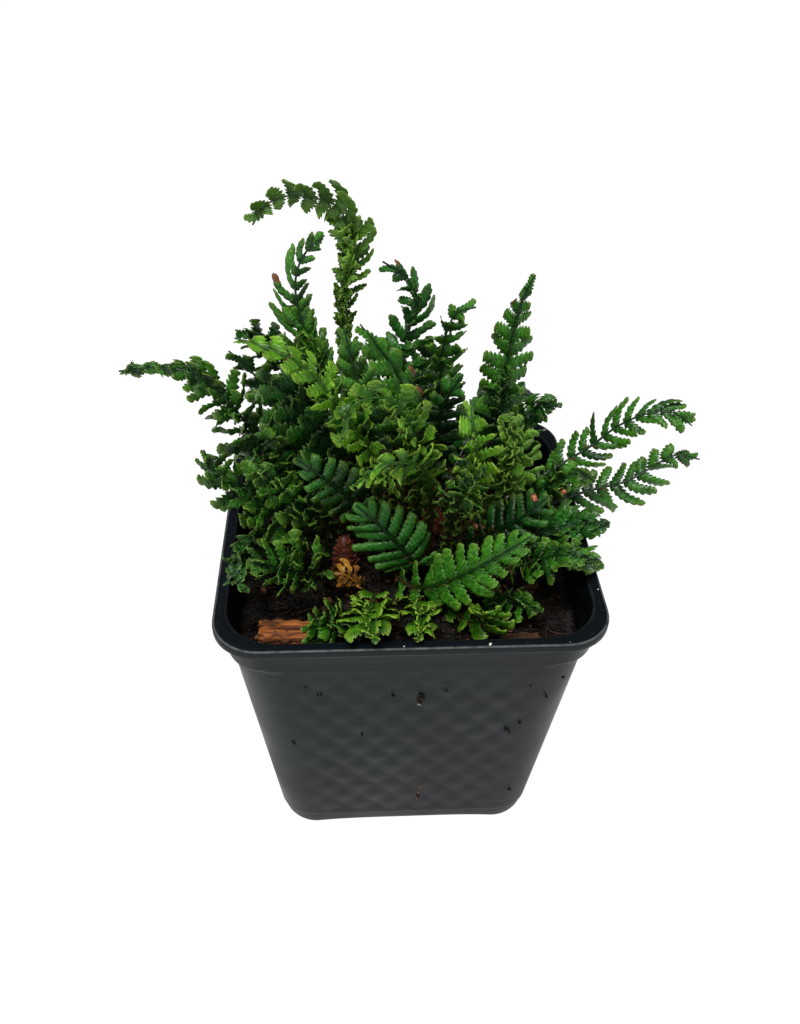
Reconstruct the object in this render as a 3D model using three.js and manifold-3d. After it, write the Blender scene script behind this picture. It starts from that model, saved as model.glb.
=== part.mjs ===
// A crisped, congested scaly male fern in a square black nursery pot.
// Millimetres, +Z up. The origin is the centre of the pot's underside, and the pot's front face looks to -Y.

import * as THREE from 'three';
import { mergeVertices } from 'three/addons/utils/BufferGeometryUtils.js';
import Module from 'manifold-3d';

const wasm = await Module();
wasm.setup();

// Pot: driving dimensions
const POT_HEIGHT = 97;
const RIM_HALF = 54;
const RIM_CORNER = 13;
const LIP_DROP = 2.6;
const FLANGE_THICK = 1.3;
const BODY_TOP_HALF = 51.8;
const BODY_TOP_CORNER = 16;
const BASE_HALF = 40.5;
const BASE_CORNER = 11;
const BASE_BAND = 5;
const BAND_STEP = 0.6;
const BAND_BLEND = 0.8;
const FOOT_CHAMFER = 1.5;
const COLLAR_HEIGHT = 10.5;
const COLLAR_CORNER = 10.5;
const COLLAR_BLEND = 1.2;
const LIP_ROUND = 0.6;
const WALL = 1.4;
const FLOOR = 2;
const CORNER_STEPS = 5;
const DRAIN_RADIUS = 4;
const DRAIN_PLACE = 24;
const DRAIN_SIDES = 12;

// Soil
const CLEAR = 0.3;
const SOIL_TOP = 83;
const SOIL_MOUND = 3;
const SOIL_MOUND_REACH = 30;
const SOIL_BUMP = 0.9;
const BUMP_WAVES = [0.31, 0.27];
const RIPPLE_WAVES = [0.17, 0.43];
const RIPPLE_SHARE = 0.6;
const SOIL_RINGS = 4;
const SOIL_EDGE_DEPTH = 6;

// Bark chips and crowns
const RAGGED_SHARE = 0.08;
const RAGGED_WAVE = 1.3;
const CROWN_SIDES = 9;
const CROWN_KNOBS = 0.16;
const CROWN_FOOT = 0.6;
const CROWN_PEAK = 1.15;

// Levels of a crown as shares of its height, each with its share of the radius
const CROWN_LEVELS = [[-0.5, 0.6], [0, 1], [0.4, 0.95], [0.75, 0.7], [1, 0.35]];

// Fronds
const STIPE_HALF = 0.9;
const STIPE_DEPTH = 7;
const STIPE_RISE = 3;
const STIPE_STEPS = 3;
const RIB_HALF = 0.8;
const RIB_TIP_HALF = 0.45;
const RIB_THICK = 1.2;
const BLADE_THICK = 0.65;
const LEAFLET_FILL = 0.41;
const LEAFLET_TWIST = 1.1;
const LENGTH_DRAW = 0.12;
const CUP_DRAW = 0.14;
const TIP_LOBE = 0.14;
const RISE_END = 0.25;
const RISE_FROM = 0.5;
const LATE_RISE = 0.7;
const FULL_END = 0.4;
const TIP_NARROWING = 0.8;
const TIP_CURVE = 1.3;
const LEAN_LOW = 0.25;
const LEAN_HIGH = 0.75;

// Corners of a leaflet: how far out along its length, and its side, from -1 near the stipe to 1 near the tip
const BLUNT = [[0.6, -1], [0.97, -0.6], [1, 0.5], [0.55, 1]];
const POINTED = [[0.65, -1], [1, -0.1], [0.6, 1]];

const COLORS = {
  pot: 0x2f3336,
  soil: 0x2b2018,
  crown: 0x5a3320,
  bark: 0xa8622a,
  barkDark: 0x5c3a22,
  withered: 0xc08a2a,
  deep: 0x1f5a1e,
  mid: 0x347a2a,
  bright: 0x7db52a,
  pale: 0x5d7d4a,
};

const ROUGHNESS = { pot: 0.5, soil: 1, crown: 0.95, bark: 0.9, frond: 0.45 };

const group = new THREE.Group();

// Meshes and solids

function addMesh(name, geometry, color, roughness) {
  geometry.computeVertexNormals();
  const material = new THREE.MeshStandardMaterial({ color, roughness, metalness: 0 });
  const mesh = new THREE.Mesh(geometry, material);
  mesh.name = name;
  group.add(mesh);
}

function toSolid(geometry) {
  const bare = geometry.clone();
  bare.deleteAttribute('normal');
  bare.deleteAttribute('uv');
  const merged = mergeVertices(bare, 1e-4);
  const vertProperties = Float32Array.from(merged.attributes.position.array);
  const triVerts = Uint32Array.from(merged.index.array);
  return new wasm.Manifold(new wasm.Mesh({ numProp: 3, vertProperties, triVerts }));
}

function toGeometry(solid) {
  const mesh = solid.getMesh();
  const geometry = new THREE.BufferGeometry();
  geometry.setAttribute('position', new THREE.BufferAttribute(mesh.vertProperties, 3));
  geometry.setIndex(new THREE.BufferAttribute(mesh.triVerts, 1));
  return geometry;
}

function fromLists(points, triangles) {
  const geometry = new THREE.BufferGeometry();
  geometry.setAttribute('position', new THREE.Float32BufferAttribute(points.flat(), 3));
  geometry.setIndex(triangles.flat());
  return geometry;
}

// A number from -1 to 1 that depends only on a seed and a step
function wiggle(seed, step) {
  const wave = Math.sin(seed * 12.9898 + step * 78.233) * 43758.5453;
  return 2 * (wave - Math.floor(wave)) - 1;
}

// A level square section with round corners, walked counterclockwise seen from above
function squareRing(half, corner, z) {
  const points = [];
  for (let quarter = 0; quarter < 4; quarter += 1) {
    const middle = (quarter + 0.5) * Math.PI / 2;
    const centreX = Math.sign(Math.cos(middle)) * (half - corner);
    const centreY = Math.sign(Math.sin(middle)) * (half - corner);
    for (let step = 0; step <= CORNER_STEPS; step += 1) {
      const angle = (quarter + step / CORNER_STEPS) * Math.PI / 2;
      points.push([centreX + corner * Math.cos(angle), centreY + corner * Math.sin(angle), z]);
    }
  }
  return points;
}

// Skin over a list of equal rings, closed by a fan at both ends
function loft(rings, firstCentre, lastCentre) {
  const count = rings[0].length;
  const points = [...rings.flat(), firstCentre, lastCentre];
  const first = points.length - 2;
  const last = points.length - 1;
  const triangles = [];
  for (let i = 0; i < count; i += 1) {
    const next = (i + 1) % count;
    const top = (rings.length - 1) * count;
    triangles.push([first, next, i], [last, top + i, top + next]);
    for (let r = 0; r + 1 < rings.length; r += 1) {
      const low = r * count;
      const high = low + count;
      triangles.push([low + i, low + next, high + next], [low + i, high + next, high + i]);
    }
  }
  return fromLists(points, triangles);
}

// Pot

function bodyHalf(z) {
  return BASE_HALF + (BODY_TOP_HALF - BASE_HALF) * z / POT_HEIGHT;
}

function bodyCorner(z) {
  return BASE_CORNER + (BODY_TOP_CORNER - BASE_CORNER) * z / POT_HEIGHT;
}

function innerRing(z, inset) {
  return squareRing(bodyHalf(z) - WALL - inset, bodyCorner(z) - WALL - inset, z);
}

function makePot() {
  const flangeLow = POT_HEIGHT - FLANGE_THICK;
  const collarLow = flangeLow - COLLAR_HEIGHT;
  const bandHalf = bodyHalf(BASE_BAND) - BAND_STEP;
  const bandTop = BASE_BAND + BAND_BLEND;
  const lipInner = RIM_HALF - FLANGE_THICK;
  const rings = [
    squareRing(BASE_HALF - FOOT_CHAMFER, BASE_CORNER - 1, 0),
    squareRing(BASE_HALF - 0.4, BASE_CORNER, 1),
    squareRing(bandHalf, BASE_CORNER, BASE_BAND),
    squareRing(bodyHalf(bandTop), bodyCorner(BASE_BAND), bandTop),
    squareRing(bodyHalf(collarLow), bodyCorner(collarLow), collarLow),
    squareRing(bodyHalf(collarLow + COLLAR_BLEND), COLLAR_CORNER + 1, collarLow + COLLAR_BLEND),
    squareRing(bodyHalf(flangeLow), COLLAR_CORNER, flangeLow),
    squareRing(lipInner, RIM_CORNER - FLANGE_THICK, flangeLow),
    squareRing(lipInner, RIM_CORNER - FLANGE_THICK, POT_HEIGHT - LIP_DROP),
    squareRing(RIM_HALF, RIM_CORNER, POT_HEIGHT - LIP_DROP),
    squareRing(RIM_HALF, RIM_CORNER, POT_HEIGHT - LIP_ROUND),
    squareRing(RIM_HALF - LIP_ROUND, RIM_CORNER - LIP_ROUND, POT_HEIGHT),
    squareRing(bodyHalf(POT_HEIGHT) - WALL + LIP_ROUND, BODY_TOP_CORNER - WALL, POT_HEIGHT),
    innerRing(POT_HEIGHT - 1, 0),
    innerRing(FLOOR, 0),
  ];
  let pot = toSolid(loft(rings, [0, 0, 0], [0, 0, FLOOR]));
  for (const [x, y] of [[1, 1], [-1, 1], [-1, -1], [1, -1]]) {
    const drain = new THREE.CylinderGeometry(DRAIN_RADIUS, DRAIN_RADIUS, 4 * FLOOR, DRAIN_SIDES);
    drain.rotateX(Math.PI / 2);
    drain.translate(x * DRAIN_PLACE, y * DRAIN_PLACE, 0);
    pot = pot.subtract(toSolid(drain));
  }
  addMesh('pot', toGeometry(pot), COLORS.pot, ROUGHNESS.pot);
}

// Soil: fills the pot and rises to a low mound at the crown

function soilHeight(x, y) {
  const mound = SOIL_MOUND * Math.exp(-(x * x + y * y) / SOIL_MOUND_REACH ** 2);
  const bump = Math.sin(x * BUMP_WAVES[0] + 1) * Math.cos(y * BUMP_WAVES[1]);
  const ripple = RIPPLE_SHARE * Math.sin(x * RIPPLE_WAVES[0] - y * RIPPLE_WAVES[1]);
  return SOIL_TOP + mound + SOIL_BUMP * (bump + ripple);
}

function soilBlock() {
  const rings = [innerRing(FLOOR + CLEAR, CLEAR), innerRing(SOIL_TOP - SOIL_EDGE_DEPTH, CLEAR)];
  const edge = innerRing(SOIL_TOP, CLEAR);
  for (let r = 0; r < SOIL_RINGS; r += 1) {
    const scale = 1 - r / SOIL_RINGS;
    rings.push(edge.map(([x, y]) => [x * scale, y * scale, soilHeight(x * scale, y * scale)]));
  }
  return toSolid(loft(rings, [0, 0, FLOOR + CLEAR], [0, 0, soilHeight(0, 0)]));
}

// Lumps that lie in the soil: bark chips and the scaly crowns of the fern

function chipGeometry({ size, at, turn, tilt }, grow = 0) {
  const [length, width, height] = size;
  const box = new THREE.BoxGeometry(length + 2 * grow, width + 2 * grow, height + 2 * grow, 3, 1, 1);
  const place = box.attributes.position;
  for (let i = 0; i < place.count; i += 1) {
    const wave = Math.sin(place.getX(i) * RAGGED_WAVE + Math.sign(place.getZ(i)));
    place.setY(i, place.getY(i) + RAGGED_SHARE * width * wave);
  }
  box.rotateY(tilt);
  box.rotateZ(turn);
  box.translate(...at);
  return box;
}

function crownGeometry({ radius, height, at, seed }, grow = 0) {
  const rings = [];
  for (const [level, spread] of CROWN_LEVELS) {
    const ring = [];
    for (let i = 0; i < CROWN_SIDES; i += 1) {
      const angle = i / CROWN_SIDES * 2 * Math.PI;
      const knob = 1 + CROWN_KNOBS * wiggle(seed, i + 3 * rings.length);
      const reach = radius * spread * knob + grow;
      const z = height * level + Math.sign(level) * grow;
      ring.push([at[0] + reach * Math.cos(angle), at[1] + reach * Math.sin(angle), at[2] + z]);
    }
    rings.push(ring);
  }
  const low = [at[0], at[1], at[2] - CROWN_FOOT * height - grow];
  const high = [at[0], at[1], at[2] + CROWN_PEAK * height + grow];
  return loft(rings, low, high);
}

// Frond: one thin arched blade cut to the rib into leaflets, on a stipe with a square section.
// Its spine runs through the points of its row, and its upper face turns towards the row's face.

function unit(x, y, z) {
  return new THREE.Vector3(x, y, z).normalize();
}

// Share of the full leaflet length along the blade: short at the start, full, then narrow to the tip.
// A row with a late share has short leaflets up to it.
function leafletProfile(u, { taper = 1, late = 0 }) {
  let rise = u < RISE_END ? 1 - RISE_FROM * (1 - u / RISE_END) ** 2 : 1;
  if (late > 0) {
    rise = u < late ? 1 - LATE_RISE * (1 - (u / late) ** 2) : 1;
  }
  const fullEnd = Math.max(FULL_END, late);
  const along = Math.min(1, Math.max(0, (u - fullEnd) / ((1 - fullEnd) * taper)));
  return rise * (1 - TIP_NARROWING * along ** TIP_CURVE);
}

// The line of a frond: upright in the soil, then through the points of its row.
// Along the blade the upper face turns towards the row's face, and the stipe keeps the blade's side.
function frondSpine(row) {
  const [x, y] = row.base;
  const root = [x, y, SOIL_TOP - STIPE_DEPTH];
  const foot = [x, y, soilHeight(x, y) + STIPE_RISE];
  const knots = [root, foot, ...row.spine].map((p) => new THREE.Vector3(...p));
  const curve = new THREE.CatmullRomCurve3(knots, false, 'centripetal');
  const length = curve.getLength();
  const footShare = (foot[2] - root[2]) / length;
  const start = footShare + (1 - footShare) * row.start;
  const face = unit(...row.face);
  const stipeSide = new THREE.Vector3().crossVectors(curve.getTangentAt(start), face);

  // Point and directions at a share of the length; past the tip the line goes on straight
  function frameAt(share) {
    const u = Math.min(share, 1);
    const tangent = curve.getTangentAt(u);
    const point = curve.getPointAt(u).addScaledVector(tangent, (share - u) * length);
    const side = u < start ? stipeSide.clone() : new THREE.Vector3().crossVectors(tangent, face);
    side.addScaledVector(tangent, -side.dot(tangent)).normalize();
    const normal = new THREE.Vector3().crossVectors(side, tangent);
    return { point, side, normal };
  }

  return { length, footShare, start, frameAt };
}

function frondGeometry(row) {
  const spine = frondSpine(row);
  const { footShare, start } = spine;
  const points = [];
  const normals = [];
  const thick = [];
  const triangles = [];

  function addPoint(point, normal, thickness) {
    points.push(point);
    normals.push(normal);
    thick.push(thickness);
    return points.length - 1;
  }

  function addStation(frame, half, thickness) {
    const left = frame.point.clone().addScaledVector(frame.side, -half);
    const right = frame.point.clone().addScaledVector(frame.side, half);
    return [addPoint(left, frame.normal, thickness), addPoint(right, frame.normal, thickness)];
  }

  function addStrip(low, high) {
    triangles.push([low[0], low[1], high[1]], [low[0], high[1], high[0]]);
  }

  // Stipe: from the soil up to the first leaflets
  let last = addStation(spine.frameAt(0), STIPE_HALF, 2 * STIPE_HALF);
  for (let step = 0; step <= STIPE_STEPS; step += 1) {
    const share = step / STIPE_STEPS;
    const half = STIPE_HALF + (RIB_HALF - STIPE_HALF) * share;
    const thickness = 2 * STIPE_HALF + (RIB_THICK - 2 * STIPE_HALF) * share;
    const u = footShare + (start - footShare) * share;
    const station = addStation(spine.frameAt(u), half, thickness);
    addStrip(last, station);
    last = station;
  }

  // Leaflets: each a lobe between two stations of the rib
  const corners = row.pointed ? POINTED : BLUNT;
  const pitch = spine.length * (1 - start) / (row.pairs + 1);
  for (let k = 0; k < row.pairs; k += 1) {
    const high = (k + 1) / (row.pairs + 1);
    const middle = (k + 0.5) / (row.pairs + 1);
    const ribHalf = RIB_HALF + (RIB_TIP_HALF - RIB_HALF) * high;
    const ribThick = RIB_THICK + (BLADE_THICK - RIB_THICK) * high;
    const station = addStation(spine.frameAt(start + (1 - start) * high), ribHalf, ribThick);
    addStrip(last, station);
    const [leanLow, leanHigh] = row.lean || [LEAN_LOW, LEAN_HIGH];
    const lean = leanLow + (leanHigh - leanLow) * middle;
    for (const hand of [0, 1]) {
      const sign = hand === 0 ? -1 : 1;
      const share = (row.shares || [1, 1])[hand];
      const full = row.width * share * leafletProfile(middle, row);
      const length = full * (1 + LENGTH_DRAW * wiggle(row.seed, 2 * k + hand));
      const cup = row.cup + CUP_DRAW * wiggle(row.seed + 1, 2 * k + hand);
      const twist = LEAFLET_TWIST * wiggle(row.seed + 2, 2 * k + hand);
      const outline = corners.map(([t, v]) => {
        const reach = length * t;
        const ahead = LEAFLET_FILL * pitch * v + reach * Math.sin(lean);
        const frame = spine.frameAt(start + (1 - start) * middle + ahead / spine.length);
        const point = frame.point.clone();
        point.addScaledVector(frame.side, sign * (ribHalf + reach * Math.cos(lean)));
        point.addScaledVector(frame.normal, cup * length * t * t + twist * t * v);
        return addPoint(point, frame.normal, BLADE_THICK);
      });
      const low = last[hand];
      const first = outline[0];
      const end = outline[outline.length - 1];
      const lobe = [[low, first, end], [low, end, station[hand]]];
      for (let i = 1; i + 1 < outline.length; i += 1) {
        lobe.push([first, outline[i], outline[i + 1]]);
      }
      triangles.push(...lobe.map(([p, q, r]) => (hand === 1 ? [p, q, r] : [p, r, q])));
    }
    last = station;
  }

  // End lobe
  const tipFrame = spine.frameAt(1);
  const beforeTip = spine.frameAt(1 - (1 - start) * 0.5 / (row.pairs + 1));
  const lobeHalf = TIP_LOBE * row.width;
  const leftLobe = beforeTip.point.clone().addScaledVector(beforeTip.side, -lobeHalf);
  const rightLobe = beforeTip.point.clone().addScaledVector(beforeTip.side, lobeHalf);
  const left = addPoint(leftLobe, beforeTip.normal, BLADE_THICK);
  const right = addPoint(rightLobe, beforeTip.normal, BLADE_THICK);
  const end = addPoint(tipFrame.point, tipFrame.normal, BLADE_THICK);
  triangles.push([last[0], last[1], right], [last[0], right, left], [left, right, end]);

  return plate(points, normals, thick, triangles);
}

// Thicken a sheet to a closed plate: the same triangles on both faces, and a wall on each free edge
function plate(points, normals, thick, triangles) {
  const count = points.length;
  const both = [];
  for (const sign of [1, -1]) {
    points.forEach((point, i) => {
      both.push(point.clone().addScaledVector(normals[i], sign * thick[i] / 2).toArray());
    });
  }
  const edges = new Map();
  for (const [a, b, c] of triangles) {
    for (const [from, to] of [[a, b], [b, c], [c, a]]) {
      edges.set(`${from},${to}`, [from, to]);
    }
  }
  const faces = [];
  for (const [a, b, c] of triangles) {
    faces.push([a, b, c], [a + count, c + count, b + count]);
  }
  for (const [from, to] of edges.values()) {
    if (!edges.has(`${to},${from}`)) {
      faces.push([from, from + count, to + count], [from, to + count, to]);
    }
  }
  return fromLists(both, faces);
}

// The plug that clears a stipe's hole in the soil
function stipeHole(row) {
  const half = STIPE_HALF + CLEAR;
  const depth = STIPE_DEPTH + CLEAR;
  const height = depth + 3 * SOIL_MOUND;
  const hole = new THREE.BoxGeometry(2 * half, 2 * half, height);
  const { side } = frondSpine(row).frameAt(0);
  hole.rotateZ(Math.atan2(side.y, side.x));
  hole.translate(row.base[0], row.base[1], SOIL_TOP - depth + height / 2);
  return hole;
}

// What lies in the soil

const CHIPS = [
  { name: 'bark_chip_front_left', size: [18.5, 8, 7], at: [-33.5, -38, 86.6], turn: -0.04, tilt: 0.03,
    color: 'bark' },
  { name: 'bark_chip_front_right', size: [12, 5, 3], at: [31, -39.8, 84.2], turn: 0.05, tilt: 0,
    color: 'barkDark' },
  { name: 'bark_chip_right', size: [7, 4, 2.2], at: [37, -18, 83.4], turn: 0.9, tilt: 0.1,
    color: 'barkDark' },
  { name: 'bark_chip_back', size: [9, 5, 2.4], at: [-24, 38, 83.6], turn: 0.5, tilt: 0, color: 'barkDark' },
];

const CROWNS = [
  { name: 'crown_front', radius: 3.4, height: 16, at: [-18.3, -12.5, 85], seed: 3 },
  { name: 'crown_back', radius: 4, height: 8, at: [9.5, 8.5, 85], seed: 5 },
];

// Fronds. base: where the stipe stands; spine: the points of the line above it; face: where the upper face
// looks; start: the share of the line where the leaflets begin; pairs and width: their number and length;
// cup: how far they bend up; shares: how long the two sides are; taper: how early the tip narrows;
// late: the share up to which the leaflets stay short; pointed: leaflets with one corner fewer

const FRONDS = [
  { name: 'frond_front_flat', tone: 'mid', base: [-3, -17], face: [0, -0.7, 0.75], start: 0.25, pairs: 10,
    width: 8.5, cup: -0.05, seed: 11,
    spine: [[1, -24, 91], [7, -30, 97], [15, -35, 106], [22, -38, 114], [30, -40, 123]] },
  { name: 'frond_front_bright', tone: 'bright', base: [8.5, -22], face: [0.1, -0.8, 0.6], start: 0.45,
    pairs: 5, width: 6.5, cup: 0.1, seed: 12,
    spine: [[14, -32, 87.5], [19, -40, 92], [21.5, -44.5, 98], [23, -47, 105]] },
  { name: 'frond_dark_rolled', tone: 'deep', base: [4, -8], face: [-0.2, -0.8, 0.5], start: 0.2, pairs: 7,
    width: 12, cup: -0.1, seed: 13, shares: [1, 0.85],
    spine: [[4, -15, 90], [1, -20, 98], [-4, -22, 107], [-9.5, -23, 115], [-15, -23, 121]] },
  { name: 'frond_over_rim', tone: 'bright', base: [-9, -22], face: [0, -0.1, 1], start: 0.3, pairs: 5,
    width: 9, cup: 0.1, seed: 14,
    spine: [[-11, -32, 91], [-12, -42, 99], [-12, -50, 103], [-11, -57, 103]] },
  { name: 'frond_front_left', tone: 'mid', base: [-13, -24], face: [0, -0.8, 0.6], start: 0.3, pairs: 5,
    width: 7.5, cup: 0.1, seed: 15, spine: [[-17, -31, 89], [-21, -38, 92], [-25, -43, 95], [-30, -46, 98]] },
  { name: 'frond_left_low', tone: 'mid', base: [-15, -4], face: [0.1, -0.7, 0.7], start: 0.3, pairs: 9,
    width: 12, cup: 0.15, seed: 16,
    spine: [[-25, -11, 97], [-32, -17, 108], [-39, -20, 118], [-45, -22, 126], [-51, -22, 131],
      [-54, -20, 138]] },
  { name: 'frond_left_fan', tone: 'mid', base: [-24.5, -16], face: [-0.1, -0.8, 0.5], start: 0.3, pairs: 6,
    width: 12, cup: 0.12, seed: 17, shares: [0.65, 1],
    spine: [[-25, -22, 94], [-31, -30, 103], [-38, -34, 109], [-44, -35, 112]] },
  { name: 'frond_left_edge', tone: 'deep', base: [-21, -7], face: [-0.8, -0.5, 0.4], start: 0.5, pairs: 6,
    width: 7, cup: 0.1, seed: 18,
    spine: [[-33, -12, 97], [-41, -19, 104], [-45.5, -26, 107], [-46.5, -33, 107], [-44, -39, 104]] },
  { name: 'frond_left_long', tone: 'mid', base: [-17, 2], face: [0, -0.8, 0.6], start: 0.3, pairs: 13,
    width: 10, cup: 0.15, seed: 20, taper: 0.65,
    spine: [[-31, -3, 108], [-39, -6, 124], [-44, -8, 138], [-50, -10, 149], [-57, -10, 155],
      [-66, -8, 155], [-76, -6, 153]] },
  { name: 'frond_left_back', tone: 'deep', base: [-15, 8], face: [0, -0.8, 0.5], start: 0.35, pairs: 7,
    width: 11, cup: 0.1, seed: 21, pointed: true,
    spine: [[-24, 8, 120], [-29, 9, 136], [-34, 9, 146], [-38, 8, 152], [-42, 5, 157], [-46, 3, 160]] },
  { name: 'frond_bright_long', tone: 'bright', base: [-6.5, -2.5], face: [0, -0.6, 0.8], start: 0.4,
    pairs: 10, width: 6.5, cup: 0.1, seed: 22,
    spine: [[-9, -9, 123], [-15, -15, 141], [-20, -19, 152], [-25, -20, 160], [-31, -20, 165],
      [-38, -18, 167], [-44, -16, 168]] },
  { name: 'frond_rosette', tone: 'bright', base: [0, -4], face: [0.1, -0.8, 0.5], start: 0.35, pairs: 9,
    width: 8, cup: 0.2, seed: 23, shares: [0.5, 1],
    spine: [[3, -9, 112], [2, -17, 134], [-2, -22, 149], [-8, -25, 156], [-15, -27, 155],
      [-18, -29, 147]] },
  { name: 'frond_fingers', tone: 'bright', base: [7.5, -5], face: [0, -0.9, 0.3], start: 0.45, pairs: 6,
    width: 7, cup: 0.1, seed: 24,
    spine: [[7, -9, 112], [3, -22, 132], [-2, -32, 141], [-7, -36, 144], [-12, -39, 143]] },
  { name: 'frond_light_leaf', tone: 'bright', base: [12, -3], face: [0, -0.9, 0.4], start: 0.5, pairs: 6,
    width: 6.5, cup: 0.1, seed: 25,
    spine: [[17, -8, 104], [18, -17, 124], [17, -23, 138], [15, -25, 148], [14, -24, 155]] },
  { name: 'frond_light_ball', tone: 'pale', base: [18, 2], face: [0.1, -0.8, 0.6], start: 0.4, pairs: 8,
    width: 11, cup: 0.2, seed: 26, shares: [0.8, 1],
    spine: [[25, -1, 100], [29, -6, 115], [30, -10, 127], [27, -12, 137], [24, -13, 142]] },
  { name: 'frond_upright', tone: 'mid', base: [16, 12], face: [0, -1, 0.2], start: 0.35, pairs: 10,
    width: 8, cup: 0.08, seed: 27, taper: 0.8,
    spine: [[25, 18, 106], [29, 22, 121], [31, 24, 133], [32, 24, 144], [33, 22, 156], [36, 20, 167]] },
  { name: 'frond_right_back', tone: 'deep', base: [21, 16], face: [0, -0.9, 0.4], start: 0.4, pairs: 5,
    width: 7, cup: 0.1, seed: 28, pointed: true,
    spine: [[33, 23, 99], [40, 29, 110], [45, 30, 118], [51, 28, 118]] },
  { name: 'frond_right_high', tone: 'mid', base: [22, 9], face: [0, -0.6, 0.8], start: 0.35, pairs: 11,
    width: 8.5, cup: 0.2, seed: 29, taper: 1.1,
    spine: [[38, 16, 95], [50, 19, 102], [60, 20, 109], [67, 20, 116], [75, 18, 122], [82, 17, 123],
      [89, 15, 119]] },
  { name: 'frond_right_low', tone: 'mid', base: [24, 2], face: [0, -0.7, 0.7], start: 0.35, pairs: 10,
    width: 9.5, cup: -0.1, seed: 30, shares: [0.7, 1], taper: 0.95,
    spine: [[38, 1, 96], [49, 1, 103], [59, 3, 105], [68, 5, 106], [75, 7, 109], [82, 7, 114],
      [90, 6, 113]] },
  { name: 'frond_right_dark', tone: 'deep', base: [22, -6], face: [0, -0.3, 1], start: 0.3, pairs: 6,
    width: 9.5, cup: 0.1, seed: 31, shares: [1, 0.7],
    spine: [[31, -9, 95], [41, -12, 101], [51, -13, 104], [60, -12, 102]] },
  { name: 'frond_right_front', tone: 'mid', base: [16, -14], face: [0, -0.5, 0.8], start: 0.35, pairs: 4,
    width: 8, cup: 0.1, seed: 32, shares: [0.5, 1], spine: [[25, -24, 88], [32, -32, 92], [37, -38, 93]] },
  { name: 'frond_centre_right', tone: 'deep', base: [12, 2], face: [0, -0.7, 0.7], start: 0.3, pairs: 6,
    width: 10, cup: -0.1, seed: 33, spine: [[20, -6, 93], [27, -13, 103], [33, -17, 111], [39, -17, 118]] },
  { name: 'frond_top_middle', tone: 'deep', base: [0, 10], face: [0, -0.9, 0.4], start: 0.45, pairs: 8,
    width: 7.5, cup: 0.1, seed: 34, pointed: true,
    spine: [[0, 10, 118], [-1, 11, 143], [1, 12, 155], [3, 12, 163], [0, 12, 170], [-7, 12, 175]] },
  { name: 'frond_top_right', tone: 'mid', base: [6, 14], face: [0, -0.8, 0.5], start: 0.45, pairs: 7,
    width: 8, cup: 0.15, seed: 35, shares: [0.7, 1],
    spine: [[8.5, 12, 118], [10, 10, 138], [10, 7, 151], [11, 4, 160], [13, 2, 165], [18, 1, 167]] },
  { name: 'frond_tallest', tone: 'pale', base: [-6, 9], face: [0.1, 0.95, 0.2], start: 0.35, pairs: 15,
    width: 10.5, cup: -0.1, seed: 36, shares: [1, 0.5], taper: 1.1, late: 0.55,
    lean: [0.6, 0.15],
    spine: [[-9, 10, 112], [-14, 13, 138], [-17, 15, 152], [-17, 16, 165], [-15, 16, 177], [-16, 16, 184],
      [-19, 15, 189], [-24, 14, 191], [-30, 13, 192], [-36, 12, 190], [-40, 10, 185]] },
  { name: 'frond_tall_left', tone: 'mid', base: [-11, 4], face: [0, -0.9, 0.4], start: 0.45, pairs: 8,
    width: 10, cup: 0.1, seed: 37, shares: [1, 0.6],
    spine: [[-17, 3, 125], [-24, 4, 149], [-29, 5, 165], [-29, 6, 174], [-26, 7, 180], [-21, 8, 184]] },
  { name: 'frond_left_dark', tone: 'deep', base: [-11, -4], face: [0.1, -0.7, 0.7], start: 0.35, pairs: 6,
    width: 10, cup: 0.1, seed: 38, pointed: true,
    spine: [[-18, -6, 122], [-27, -8, 138], [-33, -8, 147], [-39, -8, 155]] },
  { name: 'frond_middle', tone: 'mid', base: [2, 4], face: [0.1, -0.6, 0.8], start: 0.4, pairs: 7,
    width: 10, cup: 0.1, seed: 39, shares: [1, 0.6],
    spine: [[3, 5, 118], [1, 3, 134], [-3, 3, 147], [-8, 4, 154], [-13, 6, 160]] },
  { name: 'frond_rear_left', tone: 'mid', base: [-12, 15], face: [0.4, -0.4, 0.9], start: 0.3, pairs: 7,
    width: 10.5, cup: 0.1, seed: 40, pointed: true,
    spine: [[-21, 23, 104], [-31, 32, 116], [-41, 40, 119], [-50, 46, 113]] },
  { name: 'frond_rear_left_middle', tone: 'deep', base: [-4, 19], face: [0.2, -0.6, 0.8], start: 0.3,
    pairs: 7, width: 9.5, cup: 0.1, seed: 41, pointed: true,
    spine: [[-8, 32, 106], [-13, 42, 117], [-18, 52, 120], [-23, 60, 114]] },
  { name: 'frond_rear_middle', tone: 'mid', base: [4, 20], face: [-0.1, -0.6, 0.8], start: 0.3, pairs: 7,
    width: 9, cup: 0.1, seed: 42, pointed: true,
    spine: [[7, 33, 107], [10, 43, 119], [13, 53, 121], [15, 61, 115]] },
  { name: 'frond_rear_right', tone: 'deep', base: [13, 18], face: [-0.4, -0.5, 0.8], start: 0.3, pairs: 7,
    width: 10, cup: 0.1, seed: 43, pointed: true,
    spine: [[21, 29, 103], [30, 38, 112], [39, 46, 114], [47, 52, 108]] },
  { name: 'frond_rear_low', tone: 'mid', base: [5, 28], face: [0, -0.3, 1], start: 0.3, pairs: 6, width: 9,
    cup: 0.1, seed: 44, pointed: true, spine: [[4, 42, 97], [2, 52, 104], [0, 62, 105], [-3, 69, 100]] },
  { name: 'frond_far_left', tone: 'deep', base: [-20, 10], face: [0.3, -0.4, 0.9], start: 0.3, pairs: 6,
    width: 9, cup: 0.1, seed: 45, pointed: true,
    spine: [[-31, 14, 101], [-40, 18, 109], [-47, 22, 109], [-53, 24, 104]] },
  { name: 'frond_rear_upright', tone: 'deep', base: [2, 15], face: [0, -0.9, 0.4], start: 0.35, pairs: 7,
    width: 11, cup: 0.1, seed: 46, pointed: true,
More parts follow.
